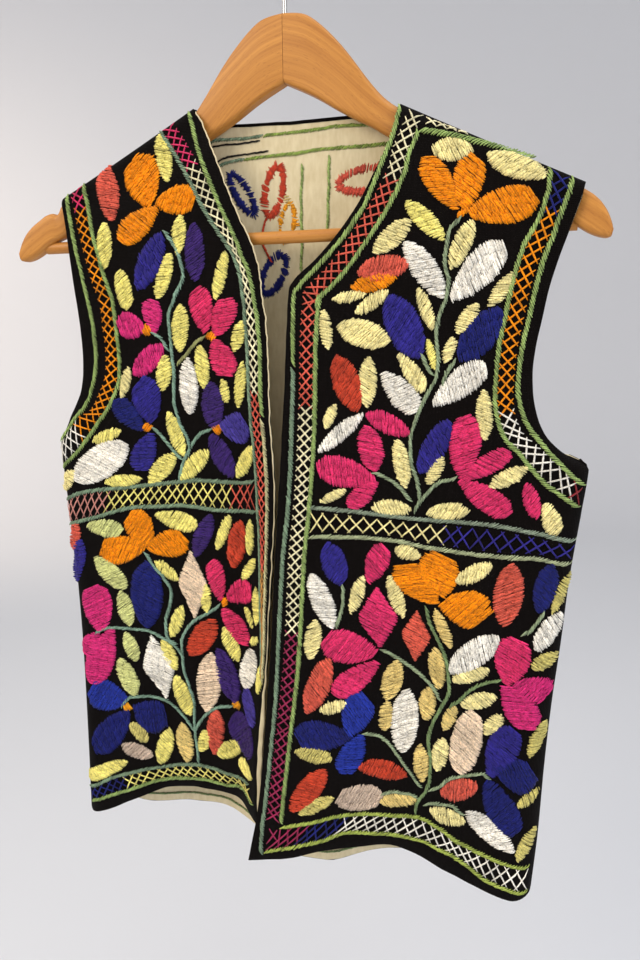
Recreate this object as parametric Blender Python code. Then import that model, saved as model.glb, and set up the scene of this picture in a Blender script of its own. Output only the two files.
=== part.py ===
"""A lined, embroidered waistcoat hanging open on a two-arm wooden hanger.

Metres, +Z up. The origin is where the hook's inner top rests on a rail, the
garment's front faces -Y, and +X is the wearer's left. The tables are in
millimetres below the hanger's apex and are turned into metres by place().
Every cloth panel is a wall with the garment's own form: a grid fitted between
its four cut edges, with its depth read from a table of levels.
"""

import math

import bmesh
import bpy
from mathutils import Vector

MM = 0.001
GAP = 0.3  # between pieces that meet

# Cloth.
TOP_CLOTH = 1.2  # black top cloth with its stitching
LINING = 1.0
ROLL = 10.0  # outer radius where the cloth turns over the hanger's arm
SIDE_TURN = 16.0  # reach of the rounded turn towards a side seam
ROLL_FADE = 45.0  # the panel reaches its own depth this far below the roll
NEAR_EDGE = 35.0  # place of the depth column beside a front edge

# Hanger.
APEX_DROP = 85.0  # the apex of the arms lies this far below the hook's inner top
ARM_HALF_SPAN = 225.5
ARM_THICKNESS = 12.0
ARM_BEND = 16.0  # the tips reach this far forward
HANGER_TILT = math.radians(0.5)  # the off-centre garment tips the wood: the left tip is higher
BAR_DIAMETER = 9.0
BAR_HALF_LENGTH = 204.0
BAR_DEPTH = -11.8
BAR_HEIGHT = -151.0
WIRE_DIAMETER = 3.2
HOOK_INNER_RADIUS = 18.0
SHANK_IN_WOOD = 22.0

# The arm from the joint to the tip. Columns: top x, top z, bottom x, bottom z, edge rounding.
ARM_STATIONS = (
    (0.15, 0.0, 0.15, -45.0, 3.0),
    (14.0, -1.0, 12.0, -50.5, 3.0),
    (21.0, -5.2, 20.0, -54.5, 3.0),
    (28.0, -10.5, 28.0, -59.0, 3.0),
    (37.0, -19.0, 37.0, -64.5, 3.0),
    (47.0, -30.0, 45.0, -69.0, 3.0),
    (56.0, -42.0, 53.0, -73.5, 3.5),
    (64.0, -52.0, 60.0, -77.0, 4.0),
    (71.0, -59.7, 67.0, -81.0, 5.0),
    (80.0, -67.4, 75.0, -86.0, 5.0),
    (95.0, -74.9, 89.0, -93.0, 5.0),
    (110.0, -82.1, 103.0, -100.0, 5.0),
    (135.0, -94.4, 127.0, -112.0, 5.0),
    (160.0, -106.5, 151.0, -125.0, 5.0),
    (180.0, -116.2, 170.0, -137.0, 5.0),
    (186.0, -119.2, 178.0, -141.0, 5.0),
    (188.5, -124.0, 184.0, -143.0, 4.5),
    (191.0, -126.4, 190.0, -145.0, 4.0),
    (194.5, -124.8, 195.0, -147.2, 4.0),
    (199.0, -125.8, 200.0, -150.2, 4.0),
    (206.0, -130.0, 206.0, -154.6, 4.0),
    (213.0, -134.8, 212.0, -158.2, 4.0),
    (218.5, -140.6, 217.5, -160.4, 4.0),
    (222.8, -148.0, 221.5, -161.2, 4.0),
    (225.5, -156.0, 224.5, -160.4, 1.6),
)

# The wearer's left front. Columns: front edge x, z and side edge x, z, a row for each level
# from the shoulder seam to the hem. Row 1 is the foot of the roll over the arm.
LEFT_EDGES = (
    (85.0, -65.5, 208.5, -124.5),
    (83.7, -74.9, 206.5, -133.6),
    (80.0, -90.0, 203.0, -145.0),
    (73.0, -107.0, 199.0, -158.0),
    (63.0, -126.0, 194.5, -173.0),
    (49.0, -146.0, 190.0, -191.0),
    (32.0, -165.0, 187.0, -210.0),
    (13.0, -181.5, 184.0, -229.0),
    (8.5, -189.0, 183.0, -243.0),
    (7.5, -206.0, 184.0, -258.0),
    (6.5, -230.0, 187.5, -274.0),
    (6.0, -256.0, 194.0, -288.0),
    (5.2, -284.0, 207.0, -301.0),
    (4.2, -312.0, 224.0, -312.0),
    (2.0, -346.0, 221.0, -346.0),
    (0.2, -394.0, 216.5, -394.0),
    (-1.6, -442.0, 214.0, -442.0),
    (-4.1, -494.0, 210.5, -494.0),
    (-7.3, -546.0, 208.5, -546.0),
    (-11.4, -598.0, 207.5, -598.0),
    (-19.4, -648.0, 205.0, -650.0),
)

# The wearer's right front, with the same columns.
RIGHT_EDGES = (
    (-71.0, -56.0, -182.0, -114.5),
    (-64.6, -64.2, -180.2, -123.5),
    (-54.8, -81.5, -178.5, -137.0),
    (-45.5, -100.0, -177.0, -151.0),
    (-38.0, -119.0, -175.5, -166.0),
    (-29.5, -138.0, -174.0, -182.0),
    (-20.0, -157.0, -172.0, -200.0),
    (-15.0, -175.0, -170.5, -218.0),
    (-13.3, -192.0, -170.0, -235.0),
    (-10.2, -210.0, -171.0, -251.0),
    (-8.6, -231.0, -174.5, -266.0),
    (-7.7, -256.0, -181.5, -279.0),
    (-6.6, -284.0, -191.0, -293.0),
    (-4.0, -312.0, -203.0, -314.0),
    (-2.4, -346.0, -201.5, -348.0),
    (-4.1, -394.0, -198.0, -396.0),
    (-6.7, -436.0, -196.0, -442.0),
    (-9.0, -482.0, -194.8, -494.0),
    (-13.7, -529.0, -194.6, -546.0),
    (-16.6, -576.0, -195.0, -600.0),
    (-15.8, -621.0, -196.0, -655.0),
)
UNDERARM_ROW = 13

# Depths of the fronts' outer faces. Columns: z, front edge, near the edge, middle, side, side edge.
LEFT_DEPTHS = (
    (-190.0, -21.0, -20.0, -19.8, -21.0, -21.0),
    (-250.0, -25.0, -21.5, -20.5, -21.5, -21.0),
    (-285.0, -28.0, -23.5, -21.5, -22.0, -18.5),
    (-312.0, -30.0, -25.0, -22.0, -22.5, -9.0),
    (-394.0, -35.0, -30.0, -24.5, -23.5, -9.0),
    (-494.0, -43.0, -37.5, -28.0, -26.0, -9.5),
    (-598.0, -50.5, -44.0, -31.5, -29.0, -11.0),
    (-660.0, -55.0, -48.5, -33.5, -30.5, -12.0),
)
RIGHT_DEPTHS = (
    (-190.0, -21.0, -19.8, -19.6, -21.0, -21.0),
    (-250.0, -23.5, -18.8, -18.8, -20.8, -20.3),
    (-285.0, -26.0, -16.5, -18.2, -21.0, -17.5),
    (-312.0, -27.5, -15.5, -18.0, -21.5, -9.0),
    (-394.0, -32.0, -13.5, -17.5, -22.0, -9.0),
    (-494.0, -36.5, -12.0, -16.5, -24.0, -9.5),
    (-576.0, -41.0, -11.0, -15.5, -26.5, -11.0),
    (-660.0, -45.5, -10.5, -15.0, -28.5, -12.0),
)

# Depths of the back's outer face. Columns: z, side edge, side, quarter, centre, quarter, side,
# side edge, from the wearer's right to the left.
BACK_DEPTHS = (
    (-60.0, 1.0, 1.0, 8.5, 10.3, 8.5, 1.0, 1.0),
    (-190.0, 2.0, 2.0, 9.0, 11.0, 9.0, 2.0, 2.0),
    (-285.0, 1.0, 3.5, 10.5, 11.0, 10.5, 3.5, 1.0),
    (-312.0, -9.0, 4.0, 11.0, 11.0, 11.0, 4.0, -9.0),
    (-394.0, -9.0, 5.5, 12.5, 10.0, 12.5, 5.5, -9.0),
    (-494.0, -9.5, 6.0, 13.5, 6.5, 13.0, 6.0, -9.5),
    (-598.0, -11.0, 5.5, 13.5, 0.5, 11.5, 5.5, -11.0),
    (-690.0, -12.0, 5.0, 13.0, -4.0, 9.0, 5.0, -12.0),
)

# Hems. Columns: fraction from the front edge (or from the wearer's right) to the side, and the
# rise above the straight line between the hem's corners.
LEFT_HEM = (
    (0.0, 0.0),
    (0.1, 2.5),
    (0.27, 14.2),
    (0.37, 20.2),
    (0.52, 26.5),
    (0.61, 24.2),
    (0.71, 14.3),
    (0.79, 6.5),
    (0.86, 0.5),
    (0.93, -2.5),
    (1.0, 0.0),
)
RIGHT_HEM = (
    (0.0, 0.0),
    (0.14, 3.2),
    (0.33, 9.9),
    (0.41, 12.6),
    (0.53, 13.0),
    (0.63, 9.6),
    (0.73, 4.6),
    (0.89, -3.7),
    (0.95, -4.8),
    (1.0, 0.0),
)
BACK_HEM = (
    (0.0, 0.0),
    (0.13, -6.0),
    (0.23, -2.0),
    (0.32, -1.5),
    (0.4, -8.0),
    (0.5, -24.0),
    (0.57, -24.0),
    (0.66, -13.0),
    (0.77, -6.0),
    (0.9, -3.0),
    (1.0, 0.0),
)

# The back's neckline between the two neck points. Columns: x, z.
BACK_NECK = (
    (-71.0, -56.0),
    (-70.0, -57.1),
    (-68.0, -59.2),
    (-64.5, -61.8),
    (-59.0, -64.2),
    (-48.0, -66.2),
    (-20.0, -67.0),
    (7.0, -67.3),
    (35.0, -67.2),
    (60.0, -67.2),
    (75.0, -67.1),
    (80.0, -66.8),
    (83.0, -66.2),
    (85.0, -65.5),
)
BACK_ARMHOLE_INSET = 3.0  # the back's armholes are cut this much deeper

# The largest folds. Columns: upper x, z and lower x, z of the crest, width, height towards the
# outside (a trough is negative).
LEFT_FOLDS = (
    (150.0, -330.0, 128.0, -640.0, 16.0, 3.0),
    (100.0, -420.0, 80.0, -640.0, 15.0, -2.5),
    (196.0, -330.0, 160.0, -420.0, 11.0, 2.2),
    (60.0, -250.0, 120.0, -330.0, 14.0, -1.6),
)
RIGHT_FOLDS = (
    (-150.0, -330.0, -140.0, -640.0, 14.0, 2.6),
    (-105.0, -430.0, -112.0, -640.0, 13.0, -2.2),
    (-180.0, -330.0, -140.0, -410.0, 11.0, 2.0),
)
BACK_FOLDS = (
    (-90.0, -360.0, -70.0, -660.0, 18.0, 3.0),
    (70.0, -340.0, 92.0, -660.0, 18.0, 3.0),
    (150.0, -420.0, 150.0, -650.0, 15.0, -2.5),
    (-140.0, -400.0, -146.0, -650.0, 15.0, -2.5),
)

FRONT_COLUMNS = 11  # across a front before the rounded side turn
TURN_ANGLES = (67.5, 45.0, 22.5, 0.0)  # columns inside the side turn, from the panel to the seam
ROLL_ANGLES = (22.5, 45.0, 67.5)  # rows inside the roll over the arm
BACK_COLUMNS_X = (
    *(-150, -124, -98, -71, -70, -68, -64.5, -59, -48, -30, -12, 7),
    *(28, 48, 64, 75, 80, 83, 85, 110, 136, 162, 180),
)

BLACK_COTTON = ("black_cloth", (0.010, 0.008, 0.007), 0.9, 0.0)
CREAM_COTTON = ("lining_cloth", (0.62, 0.56, 0.42), 0.9, 0.0)
HONEY_WOOD = ("hanger_wood", (0.52, 0.27, 0.09), 0.45, 0.0)
BRIGHT_STEEL = ("hook_steel", (0.62, 0.62, 0.60), 0.3, 1.0)


def material(name, colour, roughness, metallic):
    """A plain Principled material for one sub-part."""
    made = bpy.data.materials.new(name)
    made.use_nodes = True
    shader = made.node_tree.nodes["Principled BSDF"]
    shader.inputs["Base Color"].default_value = (*colour, 1.0)
    shader.inputs["Roughness"].default_value = roughness
    shader.inputs["Metallic"].default_value = metallic
    return made


def place(x, y, z):
    """Millimetres from the hanger's apex to metres from the hook's inner top."""
    return Vector((x * MM, y * MM, (z - APEX_DROP) * MM))


def place_wood(x, y, z):
    """The same for a point of the hanger, turned about the apex by its tilt."""
    turned_x = x * math.cos(HANGER_TILT) - z * math.sin(HANGER_TILT)
    turned_z = x * math.sin(HANGER_TILT) + z * math.cos(HANGER_TILT)
    return place(turned_x, y, turned_z)


def add_object(name, data, finish):
    """Puts a mesh or curve in the scene as a named sub-part with its own material."""
    data.materials.append(material(f"{name}_{finish[0]}", *finish[1:]))
    made = bpy.data.objects.new(name, data)
    bpy.context.scene.collection.objects.link(made)
    return made


def smooth_between(knots, values, at):
    """A cubic through the values at rising knots that never overshoots, level past either end."""
    if at <= knots[0]:
        return values[0]
    if at >= knots[-1]:
        return values[-1]
    i = max(k for k in range(len(knots) - 1) if knots[k] <= at)
    slopes = [(b - a) / (q - p) for a, b, p, q in zip(values, values[1:], knots, knots[1:])]

    def slope_at(k):
        if k in (0, len(slopes)):
            return slopes[min(k, len(slopes) - 1)]
        before, after = slopes[k - 1], slopes[k]
        return 2 * before * after / (before + after) if before * after > 0 else 0.0

    span = knots[i + 1] - knots[i]
    rise = values[i + 1] - values[i]
    start, end = slope_at(i) * span, slope_at(i + 1) * span
    f = (at - knots[i]) / span
    square_part = 3 * rise - 2 * start - end
    cube_part = start + end - 2 * rise
    return values[i] + f * (start + f * (square_part + f * cube_part))


def column(table, index, at):
    """One column of a table read at a value of its first column, which may fall or rise."""
    rows = sorted(table)
    return smooth_between([row[0] for row in rows], [row[index] for row in rows], at)


def edge_x(edges, x_index, z):
    """How far out a cut edge lies at a height."""
    rows = sorted((row[x_index + 1], row[x_index]) for row in edges)
    return smooth_between([row[0] for row in rows], [row[1] for row in rows], z)


def arm_depth(x):
    """The middle of the hanger's thickness: its arms bend forward towards the tips."""
    return -ARM_BEND * (x / ARM_HALF_SPAN) ** 2


def shoulder_height(x):
    """The line of the shoulder seams, carried on towards the centre."""
    edges = LEFT_EDGES if x > 7 else RIGHT_EDGES
    neck_x, neck_z, tip_x, tip_z = edges[0]
    return neck_z + (x - neck_x) * (tip_z - neck_z) / (tip_x - neck_x)


def over_the_arm(x, z, panel_depth, side):
    """Depth with the roll over the hanger's arm: a quarter circle, then a fade to the panel."""
    below = max(0.0, shoulder_height(x) - z)
    roll_depth = arm_depth(x) + side * 0.5 * GAP
    if below < ROLL:
        return roll_depth + side * math.sqrt(ROLL**2 - (ROLL - below) ** 2)
    f = min(1.0, (below - ROLL) / ROLL_FADE)
    f = f * f * (3 - 2 * f)
    return (1 - f) * (roll_depth + side * ROLL) + f * panel_depth


def folds(table, x, z):
    """The height of the large folds: soft ridges that fade past both ends of their crests."""
    total = 0.0
    for upper_x, upper_z, lower_x, lower_z, width, height in table:
        run = (upper_z - z) / (upper_z - lower_z)
        fade = smooth_between((-0.25, 0.15, 1.0), (0.0, 0.8, 1.0), run)
        offset = (x - upper_x - run * (lower_x - upper_x)) / width
        total += height * fade * math.exp(-0.5 * offset * offset)
    return total


def side_turn(distance, panel_depth, edge_depth):
    """A quarter ellipse from the panel's depth to the side edge's depth."""
    f = min(1.0, distance / SIDE_TURN)
    return edge_depth + (panel_depth - edge_depth) * math.sqrt(1 - (1 - f) ** 2)


def front_depth(edges, depths, fold_table, x, z):
    """Depth of a front's outer face at a point of its cut outline."""
    inner = edge_x(edges, 0, z)
    outer = edge_x(edges, 2, z)
    way = 1 if outer > inner else -1
    across = way * (x - inner)
    width = way * (outer - inner)
    flat_width = width - SIDE_TURN
    levels = [column(depths, i, z) for i in range(1, 6)]
    knots = (0.0, NEAR_EDGE, 0.58 * width, flat_width)
    flat = smooth_between(knots, levels[:4], across)
    flat -= folds(fold_table, x, z) * min(1.0, max(0.0, (width - across) / 30))
    turned = side_turn(max(0.0, width - across), flat, levels[4])
    return over_the_arm(x, z, turned - 0.5 * GAP, -1)


def back_depth(x, z):
    """Depth of the back's outer face."""
    right = edge_x(RIGHT_EDGES, 2, z)
    left = edge_x(LEFT_EDGES, 2, z)
    levels = [column(BACK_DEPTHS, i, z) for i in range(1, 8)]
    knots = [right + f * (left - right) for f in (0.04, 0.27, 0.51, 0.75, 0.96)]
    flat = smooth_between(knots, levels[1:6], x) + folds(BACK_FOLDS, x, z)
    from_right = max(0.0, x - right)
    from_left = max(0.0, left - x)
    if from_right < from_left:
        turned = side_turn(from_right, flat, levels[0])
    else:
        turned = side_turn(from_left, flat, levels[6])
    return over_the_arm(x, z, turned + 0.5 * GAP, 1)


def row_steps():
    """Table rows as grid rows, with extra ones inside the roll over the arm."""
    inside = [1 - math.cos(math.radians(angle)) for angle in ROLL_ANGLES]
    return [0.0, *inside, *range(1, len(LEFT_EDGES))]


def edge_point(edges, x_index, step):
    """A point of a cut edge at a grid row."""
    rows = list(range(len(edges)))
    return (
        smooth_between(rows, [row[x_index] for row in edges], step),
        smooth_between(rows, [row[x_index + 1] for row in edges], step),
    )


def fitted_grid(start_edge, end_edge, top, bottom, fractions_at):
    """Grid of (x, z) points fitted between four cut edges.

    start_edge and end_edge give a point for a row step, top and bottom a point for a fraction
    of the width. fractions_at gives the columns' fractions for a row's width.
    """
    last = len(LEFT_EDGES) - 1
    grid = []
    for step in row_steps():
        t = step / last
        start, end = start_edge(step), end_edge(step)
        row = []
        for s in fractions_at(abs(end[0] - start[0])):
            point = [
                (1 - t) * top(s)[k]
                + t * bottom(s)[k]
                + (1 - s) * (start[k] - (1 - t) * top(0)[k] - t * bottom(0)[k])
                + s * (end[k] - (1 - t) * top(1)[k] - t * bottom(1)[k])
                for k in (0, 1)
            ]
            row.append(point)
        grid.append(row)
    return grid


def turn_fractions(width):
    """Fractions of the width for the columns inside the rounded turn at the far side."""
    return [1 - SIDE_TURN * (1 - math.cos(math.radians(a))) / width for a in TURN_ANGLES]


def front_grid(edges, depths, hem, fold_table):
    """Outer face of a front, from its front edge to its side and from shoulder to hem."""

    def top(s):
        neck_x, neck_z, tip_x, tip_z = edges[0]
        return neck_x + s * (tip_x - neck_x), neck_z + s * (tip_z - neck_z)

    def bottom(s):
        in_x, in_z, out_x, out_z = edges[-1]
        rise = smooth_between([row[0] for row in hem], [row[1] for row in hem], s)
        return in_x + s * (out_x - in_x), in_z + s * (out_z - in_z) + rise

    def fractions(width):
        flat = 1 - SIDE_TURN / width
        return [flat * i / FRONT_COLUMNS for i in range(FRONT_COLUMNS + 1)] + turn_fractions(width)

    grid = fitted_grid(
        lambda step: edge_point(edges, 0, step),
        lambda step: edge_point(edges, 2, step),
        top,
        bottom,
        fractions,
    )
    return [[Vector((x, front_depth(edges, depths, fold_table, x, z), z)) for x, z in row] for row in grid]


def back_grid():
    """Outer face of the back, from the wearer's right side to the left."""
    right_tip, left_tip = RIGHT_EDGES[0][2], LEFT_EDGES[0][2]
    span = left_tip - right_tip

    def side(edges, step):
        x, z = edge_point(edges, 2, step)
        inset = BACK_ARMHOLE_INSET * max(0.0, min(1.0, UNDERARM_ROW - step)) * min(1.0, step)
        return (x - inset if x > 0 else x + inset), z

    def top(s):
        x = right_tip + s * span
        if RIGHT_EDGES[0][0] < x < LEFT_EDGES[0][0]:
            return x, smooth_between([p[0] for p in BACK_NECK], [p[1] for p in BACK_NECK], x)
        return x, shoulder_height(x)

    def bottom(s):
        right, left = RIGHT_EDGES[-1][2:], LEFT_EDGES[-1][2:]
        rise = smooth_between([row[0] for row in BACK_HEM], [row[1] for row in BACK_HEM], s)
        return right[0] + s * (left[0] - right[0]), right[1] + s * (left[1] - right[1]) + rise

    def fractions(width):
        turn = turn_fractions(width)
        middle = [(x - right_tip) / span for x in BACK_COLUMNS_X]
        return [1 - s for s in reversed(turn)] + middle + turn

    grid = fitted_grid(
        lambda step: side(RIGHT_EDGES, step),
        lambda step: side(LEFT_EDGES, step),
        top,
        bottom,
        fractions,
    )
    return [[Vector((x, back_depth(x, z), z)) for x, z in row] for row in grid]


def inward_normals(grid, facing, seam_columns):
    """Unit vectors from the outer face into the wall. A seam's have no part along Y."""
    rows, columns = range(len(grid)), range(len(grid[0]))
    underarm = UNDERARM_ROW + len(ROLL_ANGLES)

    def neighbours(i, j):
        up, down = max(i - 1, 0), min(i + 1, rows[-1])
        before, after = max(j - 1, 0), min(j + 1, columns[-1])
        return (up, j), (down, j), (i, before), (i, after)

    def at_seam(i, j):
        point = grid[i][j]
        at_shoulder = i == 0 and point.z > shoulder_height(point.x) - 0.01
        return at_shoulder or (j in seam_columns and i >= underarm)

    def flattened(normal, i, j):
        if at_seam(i, j):
            normal.y = 0.0
        return normal.normalized()

    raw = {}
    for i in rows:
        for j in columns:
            up, down, before, after = (grid[k][m] for k, m in neighbours(i, j))
            raw[i, j] = flattened((after - before).cross(down - up) * facing, i, j)
    evened = []
    for i in rows:
        line = []
        for j in columns:
            around = sum((raw[spot] for spot in neighbours(i, j)), Vector())
            line.append(flattened(raw[i, j] * 4 + around, i, j))
        evened.append(line)
    return evened


def wall(name, grid, normals, depth_in, thickness, finish):
    """A closed wall whose outer face lies depth_in behind the grid."""
    mesh = bmesh.new()
    faces = []
    for offset in (depth_in, depth_in + thickness):
        faces.append(
            [
                [mesh.verts.new(place(*(point + normal * offset))) for point, normal in zip(*rows)]
                for rows in zip(grid, normals)
            ]
        )
    outer, inner = faces
    last_row, last_column = len(grid) - 1, len(grid[0]) - 1
    for i in range(last_row):
        for j in range(last_column):
            for face in (outer, inner):
                mesh.faces.new((face[i][j], face[i][j + 1], face[i + 1][j + 1], face[i + 1][j]))
    rim = [(0, j) for j in range(last_column)]
    rim += [(i, last_column) for i in range(last_row)]
    rim += [(last_row, j) for j in range(last_column, 0, -1)]
    rim += [(i, 0) for i in range(last_row, 0, -1)]
    for (i, j), (k, m) in zip(rim, rim[1:] + rim[:1]):
        mesh.faces.new((outer[i][j], outer[k][m], inner[k][m], inner[i][j]))
    bmesh.ops.recalc_face_normals(mesh, faces=mesh.faces)
    data = bpy.data.meshes.new(name)
    mesh.to_mesh(data)
    mesh.free()
    data.shade_smooth()
    data.set_sharp_from_angle(angle=math.radians(50))
    return add_object(name, data, finish)


def cloth_panel(name, grid, facing, seam_columns):
    """A top cloth wall and the lining wall behind it."""
    normals = inward_normals(grid, facing, seam_columns)
    wall(name, grid, normals, 0.0, TOP_CLOTH, BLACK_COTTON)
    wall(f"{name}_lining", grid, normals, TOP_CLOTH + GAP, LINING, CREAM_COTTON)


def rounded_section(half_width, half_height, radius):
    """Outline of a rounded rectangle, four points to a corner."""
    points = []
    for corner, (sx, sy) in enumerate(((1, 1), (-1, 1), (-1, -1), (1, -1))):
        for step in range(4):
            angle = math.radians(90 * corner + 30 * step)
            points.append(
                (
                    sx * (half_width - radius) + radius * math.cos(angle),
                    sy * (half_height - radius) + radius * math.sin(angle),
                )
            )
    return points


def hanger_arm(name, side):
    """One arm: rounded sections carried from the joint to the tip along the bend."""
    mesh = bmesh.new()
    rings = []
    for top_x, top_z, bottom_x, bottom_z, rounding in ARM_STATIONS:
        top, bottom = Vector((top_x, 0, top_z)), Vector((bottom_x, 0, bottom_z))
        half_height = (top - bottom).length / 2
        upward = (top - bottom).normalized()
        half_width = ARM_THICKNESS / 2 if rounding > 2.5 else ARM_THICKNESS / 2 - 2
        ring = []
        for across, up in rounded_section(half_width, half_height, min(rounding, half_height - 0.05)):
            point = (top + bottom) / 2 + upward * up
            spot = place_wood(side * point.x, arm_depth(point.x) + across, point.z)
            ring.append(mesh.verts.new(spot))
        rings.append(ring)
    for ring, following in zip(rings, rings[1:]):
        for i in range(len(ring)):
            j = (i + 1) % len(ring)
            mesh.faces.new((ring[i], ring[j], following[j], following[i]))
    mesh.faces.new(rings[0])
    mesh.faces.new(rings[-1])
    bmesh.ops.recalc_face_normals(mesh, faces=mesh.faces)
    data = bpy.data.meshes.new(name)
    mesh.to_mesh(data)
    mesh.free()
    data.shade_smooth()
    data.set_sharp_from_angle(angle=math.radians(40))
    return add_object(name, data, HONEY_WOOD)


def cylinder_mesh(name, radius, start, end, segments):
    """A closed cylinder between two points."""
    mesh = bmesh.new()
    bmesh.ops.create_cone(
        mesh,
        cap_ends=True,
        segments=segments,
        radius1=radius,
        radius2=radius,
        depth=(end - start).length,
    )
    turn = Vector((0, 0, 1)).rotation_difference(end - start).to_matrix().to_4x4()
    bmesh.ops.transform(mesh, matrix=turn, verts=mesh.verts)
    bmesh.ops.translate(mesh, vec=(start + end) / 2, verts=mesh.verts)
    data = bpy.data.meshes.new(name)
    mesh.to_mesh(data)
    mesh.free()
    data.shade_smooth()
    data.set_sharp_from_angle(angle=math.radians(40))
    return data


def cutter(name, radius, start, end):
    """A guide cylinder that bores a hole and isn't part of the object."""
    data = cylinder_mesh(name, radius, start, end, 16)
    made = bpy.data.objects.new(name, data)
    bpy.context.scene.collection.objects.link(made)
    made.hide_render = True
    made.display_type = "WIRE"
    return made


def bore(target, tool):
    """Cuts a guide cylinder out of a piece."""
    cut = target.modifiers.new(tool.name, "BOOLEAN")
    cut.operation = "DIFFERENCE"
    cut.object = tool


def hook_path():
    """Centreline of the hook: a straight shank, a sideways sweep and most of a circle."""
    radius = HOOK_INNER_RADIUS + WIRE_DIAMETER / 2
    centre_z = APEX_DROP - HOOK_INNER_RADIUS
    foot_x = SHANK_IN_WOOD * math.sin(HANGER_TILT)
    points = [(foot_x, -SHANK_IN_WOOD), (0.0, 0.0), (0.0, 15.0), (0.0, 30.0)]
    points += [(0.8, 36.0), (3.4, 42.0), (8.2, 47.6)]
    for degrees in range(-45, 211, 15):
        angle = math.radians(degrees)
        points.append((radius * math.cos(angle), centre_z + radius * math.sin(angle)))
    return points


def wire_hook(name):
    """The round wire hook."""
    curve = bpy.data.curves.new(name, "CURVE")
    curve.dimensions = "3D"
    curve.bevel_depth = WIRE_DIAMETER / 2 * MM
    curve.bevel_resolution = 2
    curve.use_fill_caps = True
    spline = curve.splines.new("POLY")
    path = hook_path()
    spline.points.add(len(path) - 1)
    for point, (x, z) in zip(spline.points, path):
        point.co = (*place(x, 0, z), 1.0)
    return add_object(name, curve, BRIGHT_STEEL)


def hanger():
    """Two arms, the bar between their ends and the hook in the joint."""
    right_arm = hanger_arm("hanger_arm_right", -1)
    left_arm = hanger_arm("hanger_arm_left", 1)
    shank_hole = cutter(
        "shank_hole",
        (WIRE_DIAMETER / 2 + GAP) * MM,
        place_wood(0, 0, -SHANK_IN_WOOD - 1),
        place_wood(0, 0, 5),
    )
    bar_reach = BAR_HALF_LENGTH + 0.5
    for arm, side in ((right_arm, -1), (left_arm, 1)):
        bore(arm, shank_hole)
        socket = cutter(
            f"{arm.name}_socket",
            (BAR_DIAMETER / 2 + GAP) * MM,
            place_wood(side * 150, BAR_DEPTH, BAR_HEIGHT),
            place_wood(side * bar_reach, BAR_DEPTH, BAR_HEIGHT),
        )
        bore(arm, socket)
    bar = cylinder_mesh(
        "hanger_bar",
        BAR_DIAMETER / 2 * MM,
        place_wood(-BAR_HALF_LENGTH, BAR_DEPTH, BAR_HEIGHT),
        place_wood(BAR_HALF_LENGTH, BAR_DEPTH, BAR_HEIGHT),
        20,
    )
    add_object("hanger_bar", bar, HONEY_WOOD)
    wire_hook("hanger_hook")


def garment():
    """The two fronts and the back, each a top cloth wall with its lining."""
    side_column = FRONT_COLUMNS + len(TURN_ANGLES)
    left = front_grid(LEFT_EDGES, LEFT_DEPTHS, LEFT_HEM, LEFT_FOLDS)
    cloth_panel("left_front", left, -1, (side_column,))
    right = front_grid(RIGHT_EDGES, RIGHT_DEPTHS, RIGHT_HEM, RIGHT_FOLDS)
    cloth_panel("right_front", right, 1, (side_column,))
    back = back_grid()
    cloth_panel("back", back, 1, (0, len(back[0]) - 1))


def main():
    for old in list(bpy.data.objects):
        bpy.data.objects.remove(old)
    hanger()
    garment()


main()
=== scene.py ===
# %% [markdown]
# # An embroidered waistcoat on a wooden hanger
#
# The real garment is black cotton, lined with cream calico and covered with satin-stitched
# leaves and flowers inside borders of crossed threads. It hangs open on a beech hanger.
# Cloth like this could be simulated, but a thin shell worked out from tables keeps the
# garment's cut exactly, so every later cell asks one question: what is the depth at (x, z)?
# The first code cell loads the measured frame that all pieces have to fit.

# %% Load the frame
import math

import bpy
import numpy as np
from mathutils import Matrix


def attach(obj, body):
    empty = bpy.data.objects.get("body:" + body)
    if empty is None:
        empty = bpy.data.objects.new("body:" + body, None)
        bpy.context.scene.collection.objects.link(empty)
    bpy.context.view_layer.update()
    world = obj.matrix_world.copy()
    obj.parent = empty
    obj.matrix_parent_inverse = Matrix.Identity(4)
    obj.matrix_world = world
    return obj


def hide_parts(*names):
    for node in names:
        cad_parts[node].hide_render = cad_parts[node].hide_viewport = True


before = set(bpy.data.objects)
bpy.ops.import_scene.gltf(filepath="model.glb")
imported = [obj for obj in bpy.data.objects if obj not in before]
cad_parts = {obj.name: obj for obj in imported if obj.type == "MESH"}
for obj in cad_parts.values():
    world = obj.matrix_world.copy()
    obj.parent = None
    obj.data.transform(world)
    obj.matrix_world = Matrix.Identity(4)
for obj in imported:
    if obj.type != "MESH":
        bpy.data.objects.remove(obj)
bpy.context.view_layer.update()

# %% [markdown]
# ## Units and sizes
#
# A tailor thinks in millimetres, so the tables here are in millimetres from the point
# where the hanger's two arms meet, and one function turns them into metres from the hook.
# Keeping the unit change in one place is safer than scattering factors of a thousand.

# %% Sizes of the cloth and the hanger
MM = 0.001
GAP = 0.3  # between pieces that meet
TOP_CLOTH = 1.2
LINING = 1.0
ROLL = 10.0  # outer radius where the cloth turns over the hanger's arm
SIDE_TURN = 16.0  # reach of the rounded turn towards a side seam
ROLL_FADE = 45.0
NEAR_EDGE = 35.0
APEX_DROP = 85.0  # the apex lies this far below the hook's inner top
ARM_HALF_SPAN = 225.5
ARM_THICKNESS = 12.0
ARM_BEND = 16.0
HANGER_TILT = math.radians(0.5)
WIRE_DIAMETER = 3.2
HOOK_INNER_RADIUS = 18.0
SHANK_IN_WOOD = 22.0
UNDERARM_ROW = 13
BACK_ARMHOLE_INSET = 3.0


def table(text):
    """Rows of numbers, and of words where a row names something. A line holds one row, or
    several with commas between them."""
    rows = text.replace(",\n", ",").replace(",", "\n").strip().splitlines()
    return [
        tuple(word if word[0].isalpha() else float(word) for word in row.split()) for row in rows
    ]


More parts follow.
